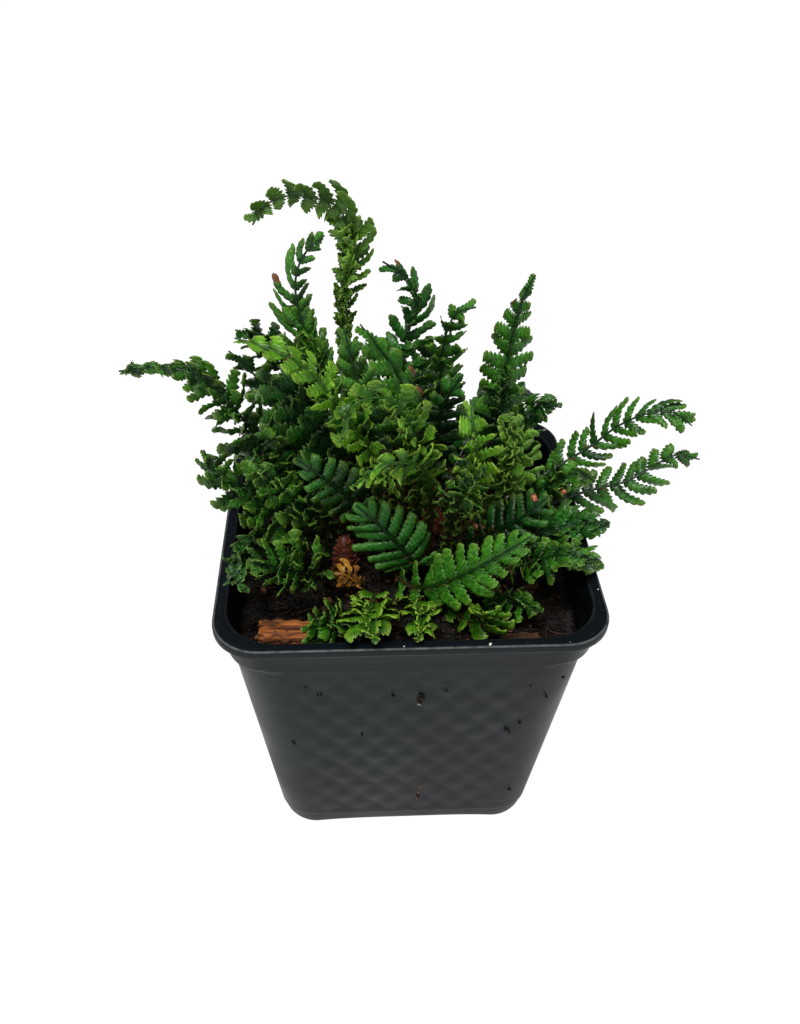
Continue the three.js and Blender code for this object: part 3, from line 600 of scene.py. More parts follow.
def cut_drains(pot):
    """Four round drain holes through the floor, cut by a Boolean that is then applied."""
    shape = bmesh.new()
    for x, y in ((1, 1), (-1, 1), (-1, -1), (1, -1)):
        place = Matrix.Translation((x * DRAIN_PLACE * MM, y * DRAIN_PLACE * MM, 0))
        bmesh.ops.create_cone(shape, cap_ends=True, segments=DRAIN_SIDES, radius1=DRAIN_RADIUS * MM,
                              radius2=DRAIN_RADIUS * MM, depth=4 * FLOOR * MM, matrix=place)
    mesh = bpy.data.meshes.new("drains")
    shape.to_mesh(mesh)
    shape.free()
    cutter = bpy.data.objects.new("drains", mesh)
    bpy.context.scene.collection.objects.link(cutter)
    cut = pot.modifiers.new("drains", "BOOLEAN")
    cut.operation = "DIFFERENCE"
    cut.solver = "MANIFOLD"
    cut.object = cutter
    drained = bpy.data.meshes.new_from_object(pot.evaluated_get(bpy.context.evaluated_depsgraph_get()))
    pot.modifiers.clear()
    pot.data = drained
    bpy.data.objects.remove(cutter)


# Soil and what lies in it


def soil_height(x, y):
    mound = SOIL_MOUND * np.exp(-(x * x + y * y) / 900)
    bump = np.sin(x * 0.31 + 1) * np.cos(y * 0.27) + 0.6 * np.sin(x * 0.17 - y * 0.43)
    return SOIL_TOP + mound + SOIL_BUMP * bump


def add_lump(skin, centre, size, draw, **values):
    """A small irregular lump: a twice-cut octahedron with jogged corners."""
    corners = [(1, 0, 0), (-1, 0, 0), (0, 1, 0), (0, -1, 0), (0, 0, 1), (0, 0, -1)]
    faces = [(0, 2, 4), (2, 1, 4), (1, 3, 4), (3, 0, 4), (2, 0, 5), (1, 2, 5), (3, 1, 5), (0, 3, 5)]
    points = [np.array(c, float) for c in corners]
    middles = {}

    def middle(a, b):
        key = (min(a, b), max(a, b))
        if key not in middles:
            points.append(unit(points[a] + points[b]))
            middles[key] = len(points) - 1
        return middles[key]

    finer = []
    for a, b, c in faces:
        ab, bc, ca = middle(a, b), middle(b, c), middle(c, a)
        finer += [(a, ab, ca), (ab, b, bc), (ca, bc, c), (ab, bc, ca)]
    shape = np.array(points) * (1 + LUMP_JOG * draw.uniform(-1, 1, (len(points), 1)))
    turn = Matrix.Rotation(draw.uniform(0, 6.28), 3, "Z") @ Matrix.Rotation(draw.uniform(0, 6.28), 3, "X")
    skin.add(np.asarray(centre) + (shape * size) @ np.array(turn).T, finer, **values)


def add_fibre(skin, start, way, length, radius, draw, **values):
    """A thin root or fibre that wanders a little."""
    heading = unit(way)
    centres = [np.asarray(start, float)]
    for _ in range(FIBRE_STEPS):
        heading = unit(heading + draw.uniform(-0.35, 0.35, 3) * (1, 1, 0.5))
        centres.append(centres[-1] + heading * length / FIBRE_STEPS)
    centres = np.array(centres)
    tangent = unit(np.gradient(centres, axis=0))
    across = unit(np.cross(tangent, (0.1, 0.2, 1)))
    thin = radius * np.linspace(1, 0.5, FIBRE_STEPS + 1)[:, None]
    add_tube(skin, centres, across * thin, np.cross(across, tangent) * thin, **values)


# Crumbs on the pot's front face: place across and up it, size, and how light they are
CRUMBS = [
    (2.7, 73, 1.0, 0), (2.9, 71.4, 1.2, 0.1), (2.4, 69.6, 0.9, 0.1), (2.3, 68.3, 0.5, 3),
    (29.7, 52.8, 0.9, 0), (28.5, 54.1, 0.8, 0), (9.4, 75.2, 0.6, 0), (9.9, 74.6, 0.5, 0),
    (-25.3, 74.4, 0.5, 0), (-26.2, 74.2, 0.4, 0), (38.3, 70.6, 0.6, 0), (-14, 52.9, 0.5, 0),
    (-34.5, 50.3, 0.5, 0), (-34, 49.5, 0.4, 0), (33.2, 17.7, 0.7, 0), (-5.2, 73, 0.4, 0),
    (33.3, 76, 0.4, 0), (32.2, 57.4, 0.5, 0), (41.9, 79.9, 0.5, 0), (3.8, 15.8, 0.6, 0),
    (-29.4, 77.9, 0.4, 0), (4.1, 22, 0.35, 1.2), (3.9, 20.8, 0.35, 1.2), (3.5, 19.6, 0.3, 1.2),
    (3.7, 18.4, 0.35, 1.2), (3.9, 17.2, 0.3, 1.2), (3.5, 14.6, 0.3, 1.2), (3.4, 13.4, 0.3, 1.2),
]
# White grains on the rim: place across and back, and size
GRAINS = [(19.9, -52.9, 0.45), (-2.8, -52.9, 0.25), (52.7, -33, 0.25), (52.6, -26, 0.2)]


def add_crumbs(skin, draw):
    for x, z, size, light in CRUMBS:
        shape = size * draw.uniform(0.7, 1.3, 3) * (1, 0.5, 1)
        add_lump(skin, (x, -body_half(z) + 0.15 * size, z), shape, draw, light=light)
    for x, y, size in GRAINS:
        add_lump(skin, (x, y, POT_HEIGHT + 0.2 * size), size * draw.uniform(0.7, 1.2, 3), draw, light=5)


def make_soil():
    skin = Skin()
    draw = np.random.RandomState(8)
    rings = []
    for z in (FLOOR + CLEAR, SOIL_TOP - 6, SOIL_TOP):
        rings.append(square_ring(body_half(z) - WALL - CLEAR, body_corner(z) - WALL - CLEAR, z)[0])
    edge = rings.pop()
    for r in range(SOIL_RINGS):
        x, y = edge[:, 0] * (1 - r / SOIL_RINGS), edge[:, 1] * (1 - r / SOIL_RINGS)
        flat = np.column_stack([x, y, np.zeros(len(x))])
        z = soil_height(x, y) + SOIL_ROUGH * rough(flat, 0.16, 4) - 0.5
        rings.append(np.column_stack([x, y, z]))
    faces = closed_faces(len(rings), len(edge))
    # The soil's two end faces point inwards, and lie on the pot's floor and under the middle crumbs
    faces[-2:] = [face[::-1] for face in faces[-2:]]
    skin.add(np.concatenate(rings), faces)
    reach = body_half(SOIL_TOP) - WALL - 2.5
    for _ in range(SOIL_CRUMBS):
        x, y = draw.uniform(-reach, reach, 2)
        size = draw.uniform(0.3, 1.05) ** 1.8 * draw.uniform(0.6, 1.5, 3)
        light = 0.9 if draw.uniform() < LIGHT_CRUMBS else draw.uniform(0, 0.15)
        add_lump(skin, (x, y, soil_height(x, y) - 0.15 + 0.4 * size[2]), size, draw, light=light)
    for _ in range(SOIL_FIBRES):
        x, y = draw.uniform(-reach + 4, reach - 4, 2)
        way = (*draw.uniform(-1, 1, 2), draw.uniform(-0.1, 0.15))
        light = draw.uniform(0.05, 0.8)
        start = (x, y, soil_height(x, y) + 0.1)
        add_fibre(skin, start, way, draw.uniform(2.5, 9), draw.uniform(0.07, 0.16), draw, light=light)
    add_crumbs(skin, draw)
    skin.build("potting_soil", soil_material(), "soil", "soil")


CHIPS = {
    "bark_chip_front_left": dict(size=(18.5, 8, 7), at=(-33.5, -38, 86.6), turn=-0.04, tilt=0.03),
    "bark_chip_front_right": dict(size=(12, 5, 3), at=(31, -39.8, 84.2), turn=0.05, tilt=0),
    "bark_chip_right": dict(size=(7, 4, 2.2), at=(37, -18, 83.4), turn=0.9, tilt=0.1),
    "bark_chip_back": dict(size=(9, 5, 2.4), at=(-24, 38, 83.6), turn=0.5, tilt=0),
}


def make_chip(name, chip, material, seed):
    """A split piece of bark: ridged along its grain, with ragged ends."""
    skin = Skin()
    length, width, height = chip["size"]
    draw = np.random.RandomState(seed)
    ridge = draw.uniform(-1, 1, CHIP_SIDES)
    ragged = draw.uniform(0, 1, CHIP_SIDES)
    points = []
    for i in range(CHIP_STEPS + 1):
        share = i / CHIP_STEPS
        ends = min(1.0, 0.82 + 1.6 * min(share, 1 - share))
        for j in range(CHIP_SIDES):
            angle = j / CHIP_SIDES * TURN
            c, s = math.cos(angle), math.sin(angle)
            box = 1 / max(abs(c) ** 6 + abs(s) ** 6, 1e-6) ** (1 / 6)
            groove = 1 + 0.07 * ridge[j] + 0.09 * noise.noise(Vector((share * 4, j * 1.3, seed)))
            x = (share - 0.5) * (length - 1.6 * ragged[j] * abs(2 * share - 1) ** 8)
            y = width / 2 * c * box * groove * ends * 0.94
            z = height / 2 * s * box * groove * ends * 0.92
            points.append((x, y + 0.05 * width * math.sin(x * 1.3), z))
    turn = Matrix.Rotation(chip["turn"], 3, "Z") @ Matrix.Rotation(chip["tilt"], 3, "Y")
    placed = np.array(points) @ np.array(turn).T + np.array(chip["at"])
    skin.add(placed, closed_faces(CHIP_STEPS + 1, CHIP_SIDES))
    skin.build(f"{name}_fibrous", material, "bark", name)


CROWNS = {
    "crown_front": dict(radius=3.4, height=16, at=(-18.3, -12.5, 85), seed=3),
    "crown_back": dict(radius=4, height=8, at=(9.5, 8.5, 85), seed=5),
}
# Rings of a crown's core: height and radius, as shares of the crown's
CROWN_RINGS = ((-0.5, 0.5), (0, 0.85), (0.4, 0.8), (0.75, 0.58), (1, 0.25))


def add_scale(skin, base, way, out, length, width, **values):
    """A lance-shaped papery scale, a thin curved plate."""
    t = np.linspace(0, 1, 5)[:, None]
    v = np.array([-1.0, 0.0, 1.0])[None, :]
    half = width / 2 * (1 - t ** 2) + 0.04
    side = unit(np.cross(way, out))
    lift = 0.18 * length * t ** 2 - 0.25 * half * np.abs(v)
    spread = (length * t)[..., None] * way
    middle = np.asarray(base) + spread + (half * v)[..., None] * side + lift[..., None] * out
    add_plate(skin, middle, SCALE_HALF_THICK, **values)


def make_crown(name, crown, material):
    """A knob of the rootstock, clothed in overlapping scales."""
    skin = Skin()
    draw = np.random.RandomState(crown["seed"])
    radius, height = crown["radius"], crown["height"]
    centre = np.array(crown["at"], float)
    angles = np.arange(CROWN_SIDES) / CROWN_SIDES * TURN
    rings = []
    for level, spread in CROWN_RINGS:
        reach = radius * spread
        z = np.full(CROWN_SIDES, height * level)
        rings.append(centre + np.column_stack([reach * np.cos(angles), reach * np.sin(angles), z]))
    skin.add(np.concatenate(rings), closed_faces(len(rings), CROWN_SIDES), chance=0.1)
    for _ in range(round(SCALES_PER_MM * height)):
        angle = draw.uniform(0, TURN)
        level = draw.uniform(0, 1)
        reach = radius * lerp(0.85, 0.3, level ** 2)
        out = np.array([math.cos(angle), math.sin(angle), 0.25])
        base = centre + (reach * out[0], reach * out[1], height * level * 0.85)
        way = unit(np.array([0, 0, 1]) + 0.35 * out + draw.uniform(-0.4, 0.4, 3))
        length = draw.uniform(1.8, 3.4) * lerp(1, 0.6, level)
        width = draw.uniform(0.7, 1.3)
        # Lower scales darker: painted shade low on the crown
        chance = draw.uniform(0, 1) * lerp(0.3, 1, level)
        add_scale(skin, base, way, unit(out), length, width, chance=chance)
    skin.build(f"{name}_scaly", material, "crown_scales", name)


# Fronds

# dense: leaflets for each one of the solid; fill: half width as a share of the pitch; foot: width at the
# rib; lobes: teeth on each side; depth: how deep the notches between them are; ruffle, pucker: waves of the
# margin and of its lobes, in millimetres; waves: how many; roll: margins turned up or down; shingle, twist,
# jitter: turns in radians; curl: bent up or down along its length; hook: bent towards the tip
STYLE_KEYS = ("dense", "fill", "foot", "lobes", "depth", "ruffle", "waves", "pucker", "roll", "shingle",
              "twist", "jitter", "curl", "hook")
STYLE_ROWS = {
    "blade":    (0.85, 0.66, 1.35, 6, 0.32, 0.35, 1.4, 0.3, -0.1, 0.12, 0.3, 0.12, 0.25, 0.25),
    "rolled":   (1.0, 0.55, 1.1, 6, 0.22, 0.3, 1.7, 0.3, -0.45, 0.2, 0.35, 0.1, 0.2, 0.2),
    "crisp":    (1.15, 0.62, 0.95, 5, 0.48, 0.6, 1.6, 0.55, -0.1, 0.35, 0.9, 0.3, 0.45, 0.4),
    "curly":    (1.2, 0.58, 0.7, 5, 0.4, 0.55, 1.6, 0.5, 0.15, 0.35, 1.0, 0.28, 0.6, 0.7),
    "broad":    (0.95, 0.62, 1.1, 5, 0.42, 0.55, 1.5, 0.5, -0.1, 0.25, 0.6, 0.22, 0.4, 0.4),
    "webbed":   (0.95, 0.62, 1.5, 5, 0.3, 0.4, 1.4, 0.35, -0.15, 0.12, 0.35, 0.12, 0.3, 0.2),
    "fingered": (1.1, 0.52, 1.1, 5, 0.3, 0.35, 1.5, 0.35, -0.3, 0.25, 0.7, 0.2, 0.4, 0.5),
    "clawed":   (1.1, 0.44, 1.2, 5, 0.25, 0.3, 1.4, 0.3, -0.3, 0.2, 0.6, 0.2, 0.5, 0.9),
    "crenate":  (0.9, 0.56, 0.8, 4, 0.34, 0.35, 1.2, 0.4, -0.2, 0.25, 0.5, 0.28, 0.45, 0.35),
    "withered": (1.0, 0.5, 0.8, 3, 0.5, 0.5, 1.2, 0.5, 0.1, 0.2, 0.8, 0.3, 0.5, 0.3),
}
# Layers of leaflets over the blade, for the styles that have more than one: size and rise of each
ONE_LAYER = ((1, 0),)
LAYERS = {
    "crisp": ((1, 0), (0.72, 0.8)),
    "curly": ((1, 0), (0.7, 0.75)),
    "broad": ((1, 0), (0.5, 0.9)),
    "crenate": ((1, 0), (0.7, 0.8)),
}
STYLES = {}
for style_name, numbers in STYLE_ROWS.items():
    layers = LAYERS.get(style_name, ONE_LAYER)
    STYLES[style_name] = dict(zip(STYLE_KEYS, numbers), tiers=layers, light=0)

ROW_KEYS = ("name", "tone", "style", "base", "face", "seed", "width", "pairs", "spine")


class Row:
    """A row of the table of fronds. The values of the class are the usual ones, and a row may change them.

    base is where the stipe leaves the soil, face where the blade's upper side looks, width the length of the
    longest leaflets, pairs their number on the solid, and spine the knots of the centre line above the soil.
    A share is a part of a length, and angles are radians.
    """

    start = 0.35  # share of the line above the soil where the leaflets begin
    cup = 0.1  # how far the leaflets bend up towards their tips
    shares = (1, 1)  # length of the leaflets at the left and at the right
    taper = 1  # share of the outer blade over which they get shorter
    late = 0  # share of the blade up to which they stay short
    lean = (0.25, 0.75)  # turned towards the tip, for the first pair and the last
    tip_hook = 1  # times the style's hook, at the tip
    swell = 1  # times their length, at the tip
    tip_fill = 1  # times their width, in the blade's outer part
    low = 0.3  # where the short leaflets on the stipe begin, as a share of the way from the soil to start
    low_size = (0.4, 0.9)  # size of the lowest one and the highest one, as shares of half the width
    tuft = 0  # small crumpled leaflets all around the rib
    tuft_part = (0, 0.8)  # the part of the blade that they stand on
    dry = 0  # chance of a dry brown tip
    flakes = ()  # rust-brown flakes that lie on the frond: where, and how long they are
    own = {}  # what is other than in the style; light makes the whole frond lighter or darker

    def __init__(self, *first, **more):
        self.__dict__.update(zip(ROW_KEYS, first), **more)
        self.style = {**STYLES[self.style], **self.own}


# The rows of the part's source, with the style of the leaflets
FRONDS = [
    Row("front_flat", "mid", "blade", (-3, -17), (0, -0.7, 0.75), 11, 8.5, 10,
        [(1, -24, 91), (7, -30, 97), (15, -35, 106), (22, -38, 114), (30, -40, 123)], start=0.25,
        cup=-0.05, low=0.05, low_size=(1.3, 1.9),
        own=dict(dense=0.75, fill=0.58, foot=1.55, lobes=5, depth=0.36, twist=0.2, jitter=0.08,
                 light=0.9)),
    Row("front_bright", "bright", "crenate", (8.5, -22), (0.1, -0.8, 0.6), 12, 6.5, 5,
        [(14, -32, 87.5), (19, -40, 92), (21.5, -44.5, 98), (23, -47, 105)], start=0.45, low=0.1,
        low_size=(0.8, 1.6),
        own=dict(dense=0.7, fill=0.74, foot=1.4, twist=0.2, jitter=0.12, curl=0.25, light=0.2,
                 tiers=((1, 0),))),
    Row("dark_rolled", "deep", "rolled", (4, -8), (-0.2, -0.8, 0.5), 13, 12, 7,
        [(4, -15, 90), (1, -20, 98), (-4, -22, 107), (-9.5, -23, 115), (-15, -23, 121)], start=0.2,
        cup=-0.1, shares=(1, 0.85), low=0, low_size=(0.8, 1.6), own=dict(light=1.5, lobes=7)),
    Row("over_rim", "bright", "crenate", (-9, -22), (0, -0.1, 1), 14, 9, 5,
        [(-11, -32, 91), (-12, -42, 99), (-12, -50, 103), (-11, -57, 103)], start=0.3, swell=1.15, low=0,
        low_size=(0.8, 1.6), tuft=26, tuft_part=(0, 1),
        own=dict(light=-0.1, dense=0.8, fill=0.72, foot=1.2, twist=0.3, curl=0.3)),
    Row("front_left", "mid", "crenate", (-13, -24), (0, -0.8, 0.6), 15, 7.5, 5,
        [(-17, -31, 89), (-21, -38, 92), (-25, -43, 95), (-30, -46, 98)], start=0.3, tuft=8,
        tuft_part=(0.1, 0.9), own=dict(dense=0.8, fill=0.75, foot=1.2, curl=0.3)),
    Row("left_low", "mid", "crisp", (-15, -4), (0.1, -0.7, 0.7), 16, 12, 9,
        [(-25, -11, 97), (-32, -17, 108), (-39, -20, 118), (-45, -22, 126), (-51, -22, 131),
         (-54, -20, 138)], start=0.3, cup=0.15),
    Row("left_fan", "mid", "crisp", (-24.5, -16), (-0.1, -0.8, 0.5), 17, 12, 6,
        [(-25, -22, 94), (-31, -30, 103), (-38, -34, 109), (-44, -35, 112)], start=0.3, cup=0.12,
        shares=(0.65, 1)),
    Row("left_edge", "deep", "crisp", (-21, -7), (-0.8, -0.5, 0.4), 18, 7, 6,
        [(-33, -12, 97), (-41, -19, 104), (-45.5, -26, 107), (-46.5, -33, 107), (-44, -39, 104)], start=0.5),
    Row("left_long", "mid", "crisp", (-17, 2), (0, -0.8, 0.6), 20, 10, 13,
        [(-31, -3, 108), (-39, -6, 124), (-44, -8, 138), (-50, -10, 149), (-57, -10, 155), (-66, -8, 155),
         (-76, -6, 153)], start=0.3, cup=0.15, taper=0.65),
    Row("left_back", "deep", "crisp", (-15, 8), (0, -0.8, 0.5), 21, 11, 7,
        [(-24, 8, 120), (-29, 9, 136), (-34, 9, 146), (-38, 8, 152), (-42, 5, 157), (-46, 3, 160)]),
    Row("bright_long", "bright", "fingered", (-6.5, -2.5), (0, -0.6, 0.8), 22, 6.5, 10,
        [(-9, -9, 123), (-15, -15, 141), (-20, -19, 152), (-25, -20, 160), (-31, -20, 165),
         (-38, -18, 167), (-44, -16, 168)], start=0.4, tuft=20, tuft_part=(0.1, 0.8),
        own=dict(fill=0.56, foot=1.3, lobes=4, depth=0.5, hook=0.3, twist=1.0, roll=0,
                 ruffle=0.5, light=0.8)),
    Row("rosette", "bright", "curly", (0, -4), (0.1, -0.8, 0.5), 23, 8, 9,
        [(3, -9, 112), (2, -17, 134), (-2, -22, 149), (-8, -25, 156), (-15, -27, 155), (-18, -29, 147)],
        cup=0.2, shares=(0.5, 1), low=0.1, tuft=20, tuft_part=(0, 1),
        own=dict(dense=1.15, fill=0.44, lobes=4, light=0.1, tiers=((1, 0),))),
    Row("fingers", "bright", "fingered", (7.5, -5), (0, -0.9, 0.3), 24, 7, 6,
        [(7, -9, 112), (3, -22, 132), (-2, -32, 141), (-7, -36, 144), (-12, -39, 143)], start=0.45,
        low=0.35),
    Row("light_leaf", "bright", "webbed", (12, -3), (0, -0.9, 0.4), 25, 6.5, 6,
        [(17, -8, 104), (18, -17, 124), (17, -23, 138), (15, -25, 148), (14, -24, 155)], start=0.5,
        tuft=14, tuft_part=(0, 0.7),
        own=dict(dense=0.8, fill=0.6, foot=1.3, lobes=4, depth=0.5, curl=0.5, twist=0.7,
                 hook=0.5, light=0.9)),
    Row("light_ball", "pale", "crenate", (18, 2), (0.1, -0.8, 0.6), 26, 11, 8,
        [(25, -1, 100), (29, -6, 115), (30, -10, 127), (27, -12, 137), (24, -13, 142)], start=0.4, cup=0.2,
        shares=(0.8, 1), tuft=60, tuft_part=(0.1, 0.9), dry=0.03,
        own=dict(dense=1.4, fill=0.9, lobes=5, light=1.0, tiers=((0.8, 0), (0.62, 0.8)))),
    Row("upright", "mid", "webbed", (16, 12), (0, -1, 0.2), 27, 8, 10,
        [(25, 18, 106), (29, 22, 121), (31, 24, 133), (32, 24, 144), (33, 22, 156), (36, 20, 167)],
        cup=0.08, taper=0.8, tuft=26, tuft_part=(0, 0.45), dry=0.05,
        own=dict(light=0.8, fill=0.58, depth=0.4)),
    Row("right_back", "deep", "crisp", (21, 16), (0, -0.9, 0.4), 28, 7, 5,
        [(33, 23, 99), (40, 29, 110), (45, 30, 118), (51, 28, 118)], start=0.4),
    Row("right_high", "mid", "clawed", (22, 9), (0, -0.6, 0.8), 29, 8.5, 11,
        [(38, 16, 95), (50, 19, 102), (60, 20, 109), (67, 20, 116), (75, 18, 122), (82, 17, 123),
         (89, 15, 119)], cup=0.2, taper=1.1, swell=1.1, tip_fill=1.4,
        own=dict(fill=0.4, depth=0.4, hook=1.1, twist=0.9, light=0.4)),
    Row("right_low", "mid", "rolled", (24, 2), (0, -0.7, 0.7), 30, 9.5, 10,
        [(38, 1, 96), (49, 1, 103), (59, 3, 105), (68, 5, 106), (75, 7, 109), (82, 7, 114), (90, 6, 113)],
        cup=-0.1, shares=(0.7, 1), taper=0.95, tip_fill=1.25,
        own=dict(fill=0.44, depth=0.36, jitter=0.3, twist=0.9, hook=0.9, curl=0.4, light=0.3)),
    Row("right_dark", "deep", "crisp", (22, -6), (0, -0.3, 1), 31, 9.5, 6,
        [(31, -9, 95), (41, -12, 101), (51, -13, 104), (60, -12, 102)], start=0.3, shares=(1, 0.7)),
    Row("right_front", "mid", "crisp", (16, -14), (0, -0.5, 0.8), 32, 8, 4,
        [(25, -24, 88), (32, -32, 92), (37, -38, 93)], shares=(0.5, 1)),
    Row("centre_right", "deep", "rolled", (12, 2), (0, -0.7, 0.7), 33, 10, 6,
        [(20, -6, 93), (27, -13, 103), (33, -17, 111), (39, -17, 118)], start=0.3, cup=-0.1,
        flakes=[((35, -15.3, 117.2), 2.2), ((21.7, -6.5, 98.2), 1.8)]),
    Row("top_middle", "deep", "clawed", (0, 10), (0, -0.9, 0.4), 34, 7.5, 8,
        [(0, 10, 118), (-1, 11, 143), (1, 12, 155), (3, 12, 163), (0, 12, 170), (-7, 12, 175)], start=0.45,
        tuft=40, tuft_part=(0.1, 0.8), dry=0.06, own=dict(fill=0.4, hook=1.2, twist=0.9, light=0.5)),
    Row("top_right", "mid", "clawed", (6, 14), (0, -0.8, 0.5), 35, 8, 7,
        [(8.5, 12, 118), (10, 10, 138), (10, 7, 151), (11, 4, 160), (13, 2, 165), (18, 1, 167)],
        start=0.45, cup=0.15, shares=(0.7, 1), tuft=20, dry=0.08, own=dict(light=0.4, fill=0.5)),
    Row("tallest", "pale", "clawed", (-6, 9), (0.1, 0.95, 0.2), 36, 10.5, 15,
        [(-9, 10, 112), (-14, 13, 138), (-17, 15, 152), (-17, 16, 165), (-15, 16, 177), (-16, 16, 184),
         (-19, 15, 189), (-24, 14, 191), (-30, 13, 192), (-36, 12, 190), (-40, 10, 185)], cup=-0.1,
        shares=(1, 0.5), taper=1.1, late=0.55, lean=(0.6, 0.15), tip_hook=0.4, swell=0.85, tip_fill=1.7,
        tuft=240, tuft_part=(0, 0.6), dry=0.03,
        own=dict(light=0.5, fill=0.3, hook=1.4, twist=0.9, depth=0.4, dense=1.25)),
    Row("tall_left", "mid", "clawed", (-11, 4), (0, -0.9, 0.4), 37, 10, 8,
        [(-17, 3, 125), (-24, 4, 149), (-29, 5, 165), (-29, 6, 174), (-26, 7, 180), (-21, 8, 184)],
        start=0.45, shares=(1, 0.6), tuft=70, tuft_part=(0, 0.6), dry=0.04,
        own=dict(dense=1.7, fill=0.38, hook=1.3, light=0.5)),
    Row("left_dark", "deep", "broad", (-11, -4), (0.1, -0.7, 0.7), 38, 10, 6,
        [(-18, -6, 122), (-27, -8, 138), (-33, -8, 147), (-39, -8, 155)]),
    Row("middle", "mid", "webbed", (2, 4), (0.1, -0.6, 0.8), 39, 10, 7,
        [(3, 5, 118), (1, 3, 134), (-3, 3, 147), (-8, 4, 154), (-13, 6, 160)], start=0.4, shares=(1, 0.6),
        dry=0.12, own=dict(dense=0.85, light=0.4, hook=0.5, depth=0.4)),
    Row("rear_left", "mid", "crisp", (-12, 15), (0.4, -0.4, 0.9), 40, 10.5, 7,
        [(-21, 23, 104), (-31, 32, 116), (-41, 40, 119), (-50, 46, 113)], start=0.3),
    Row("rear_left_middle", "deep", "rolled", (-4, 19), (0.2, -0.6, 0.8), 41, 9.5, 7,
        [(-8, 32, 106), (-13, 42, 117), (-18, 52, 120), (-23, 60, 114)], start=0.3),
    Row("rear_middle", "mid", "crisp", (4, 20), (-0.1, -0.6, 0.8), 42, 9, 7,
        [(7, 33, 107), (10, 43, 119), (13, 53, 121), (15, 61, 115)], start=0.3),
    Row("rear_right", "deep", "rolled", (13, 18), (-0.4, -0.5, 0.8), 43, 10, 7,
        [(21, 29, 103), (30, 38, 112), (39, 46, 114), (47, 52, 108)], start=0.3),
    Row("rear_low", "mid", "blade", (5, 28), (0, -0.3, 1), 44, 9, 6,
        [(4, 42, 97), (2, 52, 104), (0, 62, 105), (-3, 69, 100)], start=0.3),
    Row("far_left", "deep", "crisp", (-20, 10), (0.3, -0.4, 0.9), 45, 9, 6,
        [(-31, 14, 101), (-40, 18, 109), (-47, 22, 109), (-53, 24, 104)], start=0.3),
    Row("rear_upright", "deep", "fingered", (2, 15), (0, -0.9, 0.4), 46, 11, 7,
        [(3, 20, 108), (5, 26, 124), (7, 29, 134), (9, 30, 143)]),
    Row("inner_rim", "mid", "crisp", (24, -2), (0, -0.6, 0.8), 50, 6.5, 6,
        [(34, -2, 103), (42, -4, 112), (49, -6, 117), (55, -7, 115)], flakes=[((44.9, -7.5, 112), 2.5)]),
    Row("centre_left", "deep", "rolled", (-6, -13), (0, -0.8, 0.5), 52, 8, 6,
        [(-12, -12.5, 108), (-18, -18, 121), (-24, -23, 131), (-30, -25, 138)]),
    Row("left_middle", "mid", "broad", (-19, -3), (0, -0.8, 0.5), 53, 8, 6,
        [(-25, -15, 110), (-31, -21, 121), (-36, -25, 131), (-41, -27, 139)]),
    Row("left_tuft", "mid", "fingered", (-14, -1), (0, -0.9, 0.4), 54, 8, 7,
        [(-23, -1, 115), (-31, 0, 128), (-38, 1, 140), (-43, 2, 149), (-48, 1, 155)]),
    Row("right_drooping", "mid", "crisp", (18.5, -11.5), (0, -0.4, 0.9), 55, 7, 7,
        [(31, -20, 94), (38, -26, 103), (44, -29, 106), (50, -29, 105), (55, -28, 100)], start=0.3),
    Row("front_centre", "bright", "crenate", (0, -25), (0, -0.4, 1), 56, 5.5, 5,
        [(2, -32, 92), (2, -40, 96), (2, -47, 99), (1, -53, 100)], start=0.3, swell=1.4, low=0,
        low_size=(1.4, 2.2), tuft=30, tuft_part=(0, 1),
        own=dict(light=-0.3, dense=0.7, fill=0.9, foot=1.2, twist=0.3, curl=0.3)),
    Row("top_left", "mid", "fingered", (-5, 2), (0, -0.9, 0.4), 57, 7, 6,
        [(-8, -3, 122), (-12, -7, 143), (-15, -8, 156), (-17, -7, 166)], start=0.45),
    Row("middle_back", "deep", "rolled", (7, 3), (0, -0.8, 0.5), 58, 8, 6,
        [(9, 3, 118), (9, -2, 134), (11, -6, 145), (14, -8, 152)], start=0.4),
    Row("centre_front", "mid", "crisp", (11, -13), (0, -0.8, 0.5), 59, 7, 6,
        [(12, -18, 109), (13, -24, 122), (15, -28, 131), (19, -29, 137)], start=0.5, low=0.1,
        own=dict(light=-0.4)),
    Row("rosette_low", "bright", "curly", (-3.5, -7), (0, -0.7, 0.7), 60, 6, 6,
        [(-3, -7, 113), (-5, -16, 126), (-10, -25, 133), (-15, -30, 133)], start=0.5, cup=0.15,
        shares=(1, 0.8), low=0.1, tuft=16, tuft_part=(0, 1),
        own=dict(fill=0.46, lobes=4, light=-0.2, tiers=((1, 0),))),
    Row("upright_low", "deep", "crisp", (19, 7), (0, -0.9, 0.4), 61, 8, 6,
        [(25, 12, 106), (28, 14, 120), (29, 14, 132), (28, 12, 142)]),
    Row("withered", "withered", "withered", (-13, -18), (0, -0.7, 0.7), 51, 5, 3,
        [(-15, -20, 90), (-19, -21, 94), (-22, -21, 94)], start=0.3),
]


